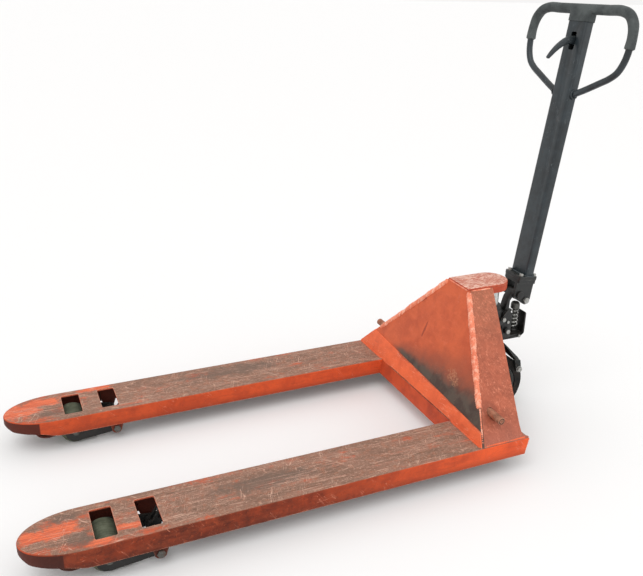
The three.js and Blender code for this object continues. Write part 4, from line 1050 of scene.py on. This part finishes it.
R = 4.0
loops = [capline(R * (1 - math.sin(math.pi / 2 * k / 6)), 307 - R * (1 - math.cos(math.pi / 2 * k / 6))) for k in range(7)]
g = rings(loops + [capline(0, 301.4), capline(0.5, 301.0)])
sk0, sk1 = [], []
def skirt_line(off, z, n=36):
    pts = []
    xc, r = 82, 50
    pts.append((56, -r + off, z))
    for i in range(n + 1):
        t = -math.pi / 2 + math.pi * i / n
        pts.append((xc + (r - off) * math.cos(t), (r - off) * math.sin(t), z))
    pts.append((56, r - off, z))
    return pts
so = [skirt_line(0, z) for z in (302, 295, 283)] + [skirt_line(0.5, 281.4), skirt_line(1.3, 281)]
si = [skirt_line(3.8, 281), skirt_line(4.6, 281.4), skirt_line(5, 283), skirt_line(5, 302)]
allr = so + si
n = len(allr[0])
sg = G()
v = [p for l in allr for p in l]
f = []
for i in range(len(allr)):
    j = (i + 1) % len(allr)
    for k in range(n - 1):
        f.append((i * n + k, i * n + k + 1, j * n + k + 1, j * n + k))
f.append(tuple(i * n for i in range(len(allr))))
f.append(tuple(i * n + n - 1 for i in reversed(range(len(allr)))))
sg.add(v, f)
piece("v_top_cap", g.join(sg), "frame", M_CAP, ["top_cap"], angle=38)
g = bead([(-22.6, -48, 300.6), (-22.6, 0, 300.4), (-22.6, 48, 300.6)], 2.6, seed=1.0)
for s in (-1, 1):
    g.join(bead([(-16, s * 52, 300.0), (20, s * 52.5, 300.0), (50, s * 52, 300.0)], 2.6, seed=3.0 + s))
piece("v_cap_bead", g, "frame", M_BEAD, angle=60)

# beam under the panel with a split seam along its upper edge
g = bead([(-146.5, -188, -1.0), (-146.5, -60, -1.2), (-146.5, 90, -1.0), (-146.5, 186, -1.0)], 2.2, seed=4.4)
piece("v_beam_seam", g, "frame", M_STRIP, angle=60)

# ram and its seat
piece("v_ram", cyl((95, 0, 0), "z", 20, 92, 292.7, 2, 56), "frame", M_RAM, ["ram"])
piece("v_ram_seat", cyl((95, 0, 0), "z", 26, 293, 300.7, 1.2, 48), "frame", M_RAM, ["ram_seat"])

# rocker shaft weldment
SH = (-87, 0, 60)
g = cyl(SH, "y", 10, -331, 331, 1.6, 40)
# turned centres cut in the ends
piece("v_shaft", g, "rocker", M_RUST, angle=30, cuts=[
    lathe([[0, -345], [4.2, -345], [4.2, -329.2], [0, -327.5]], SH, "y", 24), lathe([[0, 327.5], [4.2, 329.2], [4.2, 345], [0, 345]], SH, "y", 24)])
g = prism(link(-87, 60, 21, 38, 107.5, 11), "xz", -36, -27)
g.join(prism(link(-87, 60, 21, 38, 107.5, 11), "xz", 27, 36), cyl(SH, "y", 18, -90, 90, 1, 40))
L = math.hypot(125, 47.5)
ux, uz = 125 / L, 47.5 / L
slotc = prism(link(-87 + ux * (L - 9.2), 60 + uz * (L - 9.2), 7.4, 38, 107.5, 7.39), "xz", -60, 60)
piece("v_rocker_yoke", g, "rocker", M_RUST, ["rocker_shaft"], bevel=0.8, seg=2, cuts=[slotc])
for s, nm in ((-1, "left"), (1, "right")):
    g = prism(link(-87, 60, 16.5, -64.9, 1.9, 11), "xz", s * 242 - 5, s * 242 + 5)
    lo, hi = sorted((s * 247, s * 226))
    g.join(cyl((-87, 0, 60), "y", 16, lo, hi, 0.8, 40))
    L2 = math.hypot(22.1, 58.1)
    vx, vz = 22.1 / L2, -58.1 / L2
    sc_ = prism(link(-87 + vx * (L2 - 4.6), 60 + vz * (L2 - 4.6), 6.4, -64.9, 1.9, 6.39), "xz", s * 242 - 20, s * 242 + 20)
    piece("v_crank_" + nm, g, "rocker", M_RUST, bevel=0.8, seg=2, cuts=[sc_])

# ------------------------------------------------------------------- rollers
for side, s in (("left", -1), ("right", 1)):
    c = (-1068.5, s * 267.5, -57)
    w = 45
    prof = [[24.3, -w], [34, -w], [36, -w + 0.7], [37.4, -w + 2.2], [38, -w + 4.5], [38, w - 4.5], [37.4, w - 2.2], [36, w - 0.7], [34, w], [24.3, w], [24.3, -w]]
    piece("v_roller_" + side, lathe(prof, c, "y", 64), "roller_" + side, M_ROLL, ["load_roller_" + side])
    w = 46.5
    piece("v_roller_core_" + side, lathe([[10.4, -w], [23, -w], [24, -w + 1], [24, w - 1], [23, w], [10.4, w], [10.4, -w]], c, "y", 48), "roller_" + side, M_HUB, ["roller_core_" + side])
    g = cyl(c, "y", 10, -57, 57, 0.5)
    g.join(hexhead(c, "y", 9.5, 56, 61, 1), hexhead(c, "y", 9.5, -61, -56, -1))
    piece("v_roller_axle_" + side, g, "wheel_frame_" + side, M_DARKBOLT, ["roller_axle_" + side], angle=25)

# -------------------------------------------------------------- steer wheels
for side, s in (("left", -1), ("right", 1)):
    c = (90, s * 50, -5)
    w = 25
    prof = [[63, -w], [80, -w], [83.5, -w + 0.6], [86.5, -w + 2.2], [88.8, -w + 4.6], [89.7, -w + 7.5], [90, -w + 11], [90, -2.2], [89.6, -1.6], [89.6, 1.6], [90, 2.2], [90, w - 11], [89.7, w - 7.5], [88.8, w - 4.6], [86.5, w - 2.2], [83.5, w - 0.6], [80, w], [63, w], [63, -w]]
    piece("v_tyre_" + side, lathe(prof, c, "y", 96), "steer_wheel_" + side, M_TYRE, ["steer_tyre_" + side])
    o = 1
    prof = [[10.4, -27], [16, -27], [17, -26], [17, -24], [24, -23.6], [25.5, -20], [27, -17.5], [40, -16.6], [49, -16.5], [52, -19], [55, -22.5], [57, -23], [61, -23], [62, -22], [62, 22],
            [61, 23], [57, 23], [55, 22.5], [52, 19], [49, 16.5], [40, 16.6], [27, 20], [25, 25], [24, 26.5], [10.4, 26.5], [10.4, -27]]
    if s > 0:
        prof = [[r, -h] for r, h in prof]
    g = lathe(prof, c, "y", 72)
    for k in range(6):
        a = 2 * math.pi * k / 6 + 0.3
        cc = (c[0] + 38 * math.cos(a), c[1], c[2] + 38 * math.sin(a))
        ra = [(c[0] + 26 * math.cos(a), c[2] + 26 * math.sin(a)), (c[0] + 51 * math.cos(a), c[2] + 51 * math.sin(a))]
        nx_, nz_ = -math.sin(a) * 2.2, math.cos(a) * 2.2
        y0, y1 = (c[1] - 20.5, c[1] + 20.5)
        g.join(prism([(ra[0][0] - nx_, ra[0][1] - nz_), (ra[1][0] - nx_, ra[1][1] - nz_), (ra[1][0] + nx_, ra[1][1] + nz_), (ra[0][0] + nx_, ra[0][1] + nz_)], "xz", y0, y1))
    piece("v_hub_" + side, g, "steer_wheel_" + side, M_HUB, ["steer_hub_" + side], angle=35)
    ya, yb = sorted((s * 78, s * 82))
    g = cyl((90, 0, -5), "y", 17, ya, yb, 0.6)
    g.join(cyl((90, 0, -5), "y", 10.4, min(s * 77.5, s * 83), max(s * 77.5, s * 83), 0.3))
    piece("v_axle_washer_" + side, g, "pump", M_BRIGHT, ["axle_washer_" + side], angle=30)
    g = hexhead((149, 0, 47), "y", 8, min(s * 92.3, s * 98.5), max(s * 92.3, s * 98.5), s)
    g.join(cyl((149, 0, 47), "y", 9.5, min(s * 91.8, s * 93.2), max(s * 91.8, s * 93.2), 0.3))
    piece("v_guard_bolt_" + side, g, "pump", M_BRIGHT, ["guard_bolt_" + side], angle=25)
piece("v_steer_axle", cyl((90, 0, -5), "y", 10, -86, 86, 1.5, 40), "pump", M_BRIGHT, ["steer_axle"])

# ---------------------------------------------------------------------- pump
SX = 95
barrel = lathe([[0, 88.5], [44.5, 88.5], [46, 90], [46, 97], [44.5, 98.5], [36, 98.5], [34, 100.5], [34, 208], [33, 211], [30.5, 214], [30, 216], [30, 223], [28, 226], [20.6, 226], [20.5, 226], [20.5, 92], [0, 92]], (SX, 0, 0), "z", 64)
piece("v_barrel", barrel, "pump", M_PUMP, ["pump_body"], angle=35)
blk = prism([(SX + 24, 115), (191, 115), (205, 128), (205, 190), (199, 196), (199, 127), (154, 127), (154, 199), (SX + 24, 206)], "xz", -30, 30)
piece("v_pump_block", blk, "pump", M_PUMP, bevel=2.2, seg=3, limit=20)
stem = prism([(134, 197), (152, 197), (153.5, 232), (160, 240), (166, 238), (184, 243), (186, 262), (172, 268), (164, 266), (156, 256), (146, 240)], "xz", -13.5, 13.5)
piece("v_pump_lug", stem, "pump", M_PUMP, bevel=2.0, seg=3)
g = lathe([[8.4, -14.2], [15.2, -14.2], [16, -13.4], [16, 13.4], [15.2, 14.2], [8.4, 14.2], [8.4, -14.2]], (172, 0, 252), "y", 40)
g.join(lathe([[6.4, 121], [14.4, 121], [14.4, 133.5], [13, 135.2], [9, 135.4], [9, 149], [8, 150], [6.4, 150], [6.4, 121]], (184, 0, 0), "z", 40))
# cast details on the block: valve bosses and cap screws
g.join(lathe([[0, -38], [9, -38], [10, -37], [10, -29], [0, -29]], (136, 0, 146), "y", 32))
g.join(lathe([[0, 29], [10, 29], [10, 37], [9, 38], [0, 38]], (136, 0, 146), "y", 32))
piece("v_pump_bosses", g, "pump", M_PUMP, angle=35)
g = hexhead((136, 0, 146), "y", 7.5, -42.5, -38, -1)
g.join(hexhead((140, 0, 172), "y", 5, -33, -30, -1), hexhead((136, 0, 146), "y", 7.5, 38, 42.5, 1), hexhead((186, 0, 120.5), "y", 5, -33.5, -30, -1))
piece("v_pump_screws", g, "pump", M_BRIGHT, angle=25)
res = []
for z, r in ((122, 42), (123.5, 43.4), (125.5, 44), (198, 44), (201.5, 43.4), (204, 42)):
    res.append((r, z))
def arc(r, z, n=40):
    return [(SX - 0.4 + r * math.cos(t), r * math.sin(t), z) for t in [math.pi / 2 + math.pi * i / n for i in range(n + 1)]]
prof = res + [(34.4, 204), (34.4, 122)]
v, f = [], []
nn = 41
for r, z in prof:
    v += arc(r, z)
for i in range(len(prof)):
    j = (i + 1) % len(prof)
    for k in range(nn - 1):
        f.append((i * nn + k, i * nn + k + 1, j * nn + k + 1, j * nn + k))
f.append(tuple(i * nn for i in reversed(range(len(prof)))))
f.append(tuple(i * nn + nn - 1 for i in range(len(prof))))
piece("v_reservoir", G().add(v, f), "pump", M_PUMP, ["reservoir"], angle=35)
piece("v_filler_plug", hexhead((78, 0, 176), "y", 7, -50, -43.4, -1), "pump", M_BRIGHT, ["filler_plug"], angle=25)
piece("v_valve_stem", cyl((118, 0, 186), "y", 4, -41, -30.3, 0.5).join(hexhead((118, 0, 186), "y", 7, -41.5, -38.4, -1)), "pump", M_BRIGHT, ["valve_stem"], angle=25)

# plunger with its cap
g = cyl((184, 0, 0), "z", 6, 140, 206, 0.5)
g.join(lathe([[0, 199], [12.5, 199], [13.3, 199.8], [13.3, 210], [12.6, 214], [10.6, 217.6], [8, 219], [0, 219]], (184, 0, 0), "z", 40))
piece("v_plunger", g, "plunger", M_DARKBOLT, ["plunger"], angle=35)

# -------------------------------------------------------------------- handle
def H3(g):
    return g.map(HL)

pvx, pvz = (172 - 197) * CL - (252 - 320) * SL, (172 - 197) * SL + (252 - 320) * CL
plx, plz = (196 - 197) * CL - (232 - 320) * SL, (196 - 197) * SL + (232 - 320) * CL

tube_out = prism(rrect(30, 70, 8, 8), "xy", -11.7, 706)
tube_in = prism(rrect(24, 64, 5, 8), "xy", -30, 720)
slot_c = prism(rrect(20, 46, 5, 6, 0, 640), "xy", 0, 1)
slot_c = G().add([(p[2] * 26 - 34, p[0], p[1]) for p in slot_c.v], slot_c.f)
piece("v_handle_tube", H3(tube_out), "handle", M_HANDLE, ["handle_tube"], cuts=[H3(tube_in), H3(slot_c)], bevel=0.7, seg=2, limit=50, angle=28)
# weld round the foot of the tube
path = [(x, y, -11.0) for x, y in rrect(31, 71, 8.5, 6)]
path.append(path[0])
piece("v_tube_weld", H3(bead(path, 3.0, seed=12.0)), "handle", M_HANDLE, angle=60)

g = G()
for x, y in ((-25, -27), (21.2, -27), (-25, 27), (21.2, 27)):
    g.join(hexhead((x, y, 0), "z", 6, -10.8, -5, 1), cyl((x, y, 0), "z", 6.1, -12, -10.8, 0.3))
piece("v_flange_bolts", H3(g), "handle", M_BRIGHT, ["flange_bolt_1", "flange_bolt_2", "flange_bolt_3", "flange_bolt_4"], angle=25)

g = cyl((pvx, 0, pvz), "y", 8, -33, 33, 1)
g.join(cyl((pvx, 0, pvz), "y", 11, -34, -28.5, 0.6), cyl((pvx, 0, pvz), "y", 11, 28.5, 34, 0.6))
piece("v_pivot_shaft", H3(g), "handle", M_PUMP, ["pivot_shaft"], angle=30)
g = cyl((plx, 0, plz), "y", 6, -30, 30, 0.6)
g.join(hexhead((plx, 0, plz), "y", 10, 28, 35, 1), hexhead((plx, 0, plz), "y", 10, -35, -28, -1))
g.join(cyl((plx, 0, plz), "y", 3.5, -36, -34, 0.4))
piece("v_press_pin", H3(g), "handle", M_BRIGHT, ["press_pin"], angle=25)
piece("v_press_roller", H3(lathe([[6.4, -13.8], [11, -13.8], [12, -12.8], [12, 12.8], [11, 13.8], [6.4, 13.8], [6.4, -13.8]], (plx, 0, plz), "y", 48)), "handle", M_BRIGHT, ["press_roller"], angle=30)

P0 = [(0, 39, 506.5), (0, 70, 520), (0, 120, 544), (0, 148, 558), (0, 170, 575), (0, 184, 601), (0, 190, 632), (0, 190, 662),
      (0, 183, 692), (0, 165, 713), (0, 136, 722), (0, 90, 722), (0, 45, 722)]
LP = P0 + [(0, 0, 722)] + [(x, -y, z) for x, y, z in reversed(P0)]
rod = catmull([(0, 33, 503.8)] + LP + [(0, -33, 503.8)], 8)
piece("v_loop", H3(sweep(rod, 8.6, 28)), "handle", M_HANDLE, ["handle_loop"], angle=40)
g = G()
for s in (-1, 1):
    ring = []
    for i in range(25):
        a = 2 * math.pi * i / 24
        ring.append((10.6 * math.cos(a), s * (36.8 + 1.2 * abs(math.cos(a))), 505.3 + 10.8 * math.sin(a)))
    g.join(bead(ring, 2.6, seed=20 + s, step=1.2))
piece("v_loop_weld", H3(g), "handle", M_HANDLE, angle=60)

# grip: sleeve with stepped ends and a saddle over the tube
gp = catmull(LP[6:-6], 10)
dist = [0.0]
for i in range(1, len(gp)):
    dist.append(dist[-1] + (Vector(gp[i]) - Vector(gp[i - 1])).length)
tot = dist[-1]
rad = []
for d in dist:
    e = min(d, tot - d)
    r = 13.3
    if e < 3:
        r = 10.6 + 2.7 * math.sqrt(max(0.0, e / 3.0))
    elif e < 60:
        r = 13.3 - 0.9 * math.sin(math.pi * (e - 3) / 57.0)
    rad.append(r)
rad[0] = rad[-1] = 9.0
g = sweep(gp, rad, 36)
piece("v_grip", H3(g), "handle", M_GRIP, ["grip"], angle=40)
# saddle: blends from the round bar down on to the tube
loops = []
for z, w, h, r in ((690, 33.0, 73.2, 8.6), (690.5, 34.2, 74.6, 9.2), (700, 34.4, 75, 9.6), (706, 34, 77, 11), (711, 32, 82, 13), (716, 30, 92, 14), (722, 28, 100, 13.5), (728, 24.5, 96, 12), (732, 20, 86, 9.9)):
    loops.append([(x, y, z) for x, y in rrect(w, h, min(r, w / 2 - 0.05), 8)])
piece("v_grip_saddle", H3(rings(loops)), "handle", M_GRIP, angle=45)

# release lever: forged, thick at the root and thin at the tip
spine = catmull([(9, 0, 640), (-4, 0, 641), (-18, 0, 641.5), (-34, 0, 637.5), (-50, 0, 627), (-65, 0, 613), (-77, 0, 598), (-84.5, 0, 587)], 10)
hw_, hh_ = [], []
ln = len(spine)
loops = []
for i, (p, t, u, w) in enumerate(frames(spine)):
    k = i / (ln - 1)
    hh = 9.6 * (1 - k) ** 0.8 + 3.0
    ww = 8.4 - 3.0 * k
    if i == 0 or i == ln - 1:
        hh *= 0.6; ww *= 0.6
    nrm = Vector((t.z, 0, -t.x))
    l = []
    for j in range(24):
        a = 2 * math.pi * j / 24
        ca, sa = math.cos(a), math.sin(a)
        ca = math.copysign(abs(ca) ** 0.6, ca)
        sa = math.copysign(abs(sa) ** 0.6, sa)
        l.append(tuple(p + nrm * hh * ca + Vector((0, 1, 0)) * ww * sa))
    loops.append(l)
piece("v_release_lever", H3(rings(loops)), "release_lever", M_HANDLE, ["release_lever"], angle=45)
g = cyl((2, 0, 640), "y", 3, -31.6, 31.6, 0.4)
piece("v_lever_pin", H3(g), "handle", M_BRIGHT, ["lever_pin"])
piece("v_release_rod", H3(cyl((2, 0, 0), "z", 3, 20, 620, 0.5, 20)), "release_rod", M_BRIGHT, ["release_rod"])

# --------------------------------------------------------------------- stage
floor = bpy.data.meshes.new("floor")
prof = [(-6, 0), (7, 0)]
vs, fs = [], []
ys = [-60.0, 60.0]
zs = [0.0, 0.0]
for y, z in zip(ys, zs):
    vs += [(-60, y, z - 0.0006), (60, y, z - 0.0006)]
for i in range(len(ys) - 1):
    fs.append((2 * i, 2 * i + 1, 2 * i + 3, 2 * i + 2))
floor.from_pydata(vs, [], fs)
for p in floor.polygons:
    p.use_smooth = True
fo = bpy.data.objects.new("floor", floor)
bpy.context.scene.collection.objects.link(fo)
fm = Mat("floor")
fm.done(lin(238, 238, 238), 0.9, 0.0, 0.1)
floor.materials.append(fm.m)

world = bpy.data.worlds.new("world")
bpy.context.scene.world = world
world.use_nodes = True
bg = world.node_tree.nodes["Background"]
bg.inputs[0].default_value = (1.0, 0.99, 0.98, 1)
bg.inputs[1].default_value = 0.92


def area(name, loc, target, size, power, color=(1, 1, 1)):
    d = bpy.data.lights.new(name, "AREA")
    d.shape, d.size, d.size_y, d.energy, d.color = "RECTANGLE", size[0], size[1], power, color
    o = bpy.data.objects.new(name, d)
    o.location = loc
    o.rotation_euler = (Vector(target) - Vector(loc)).to_track_quat("-Z", "Y").to_euler()
    bpy.context.scene.collection.objects.link(o)
    return o


def sun(name, direction, strength, angle):
    d = bpy.data.lights.new(name, "SUN")
    d.energy, d.angle = strength, math.radians(angle)
    o = bpy.data.objects.new(name, d)
    o.location = (0, 0, 4)
    o.rotation_euler = Vector(direction).to_track_quat("-Z", "Y").to_euler()
    bpy.context.scene.collection.objects.link(o)


sun("key", (0.45, 0.35, -1.0), 0.68, 40)
sun("front", (0.35, 1.0, -0.75), 0.34, 50)
area("fill", (2.8, -2.6, 2.2), (0.2, 0, 0.4), (2.5, 2.5), 14)

cam = bpy.data.cameras.new("camera")
co = bpy.data.objects.new("camera", cam)
bpy.context.scene.collection.objects.link(co)
f = Vector((0.37897, 0.85195, -0.36132)).normalized()
r = Vector((0.9137, -0.4064, 0.0211))
r = (r - f * r.dot(f)).normalized()
u = r.cross(f)
m4 = Matrix(((r.x, u.x, -f.x, -0.73666), (r.y, u.y, -f.y, -1.6808), (r.z, u.z, -f.z, 1.1825), (0, 0, 0, 1)))
co.matrix_world = m4
cam.sensor_width = 36.0
cam.lens = 43.01
cam.shift_x, cam.shift_y = 0.0042, -0.0121
cam.clip_start, cam.clip_end = 0.05, 60
bpy.context.scene.camera = co
bpy.context.scene.view_settings.view_transform = "Standard"
bpy.context.scene.view_settings.look = "None"
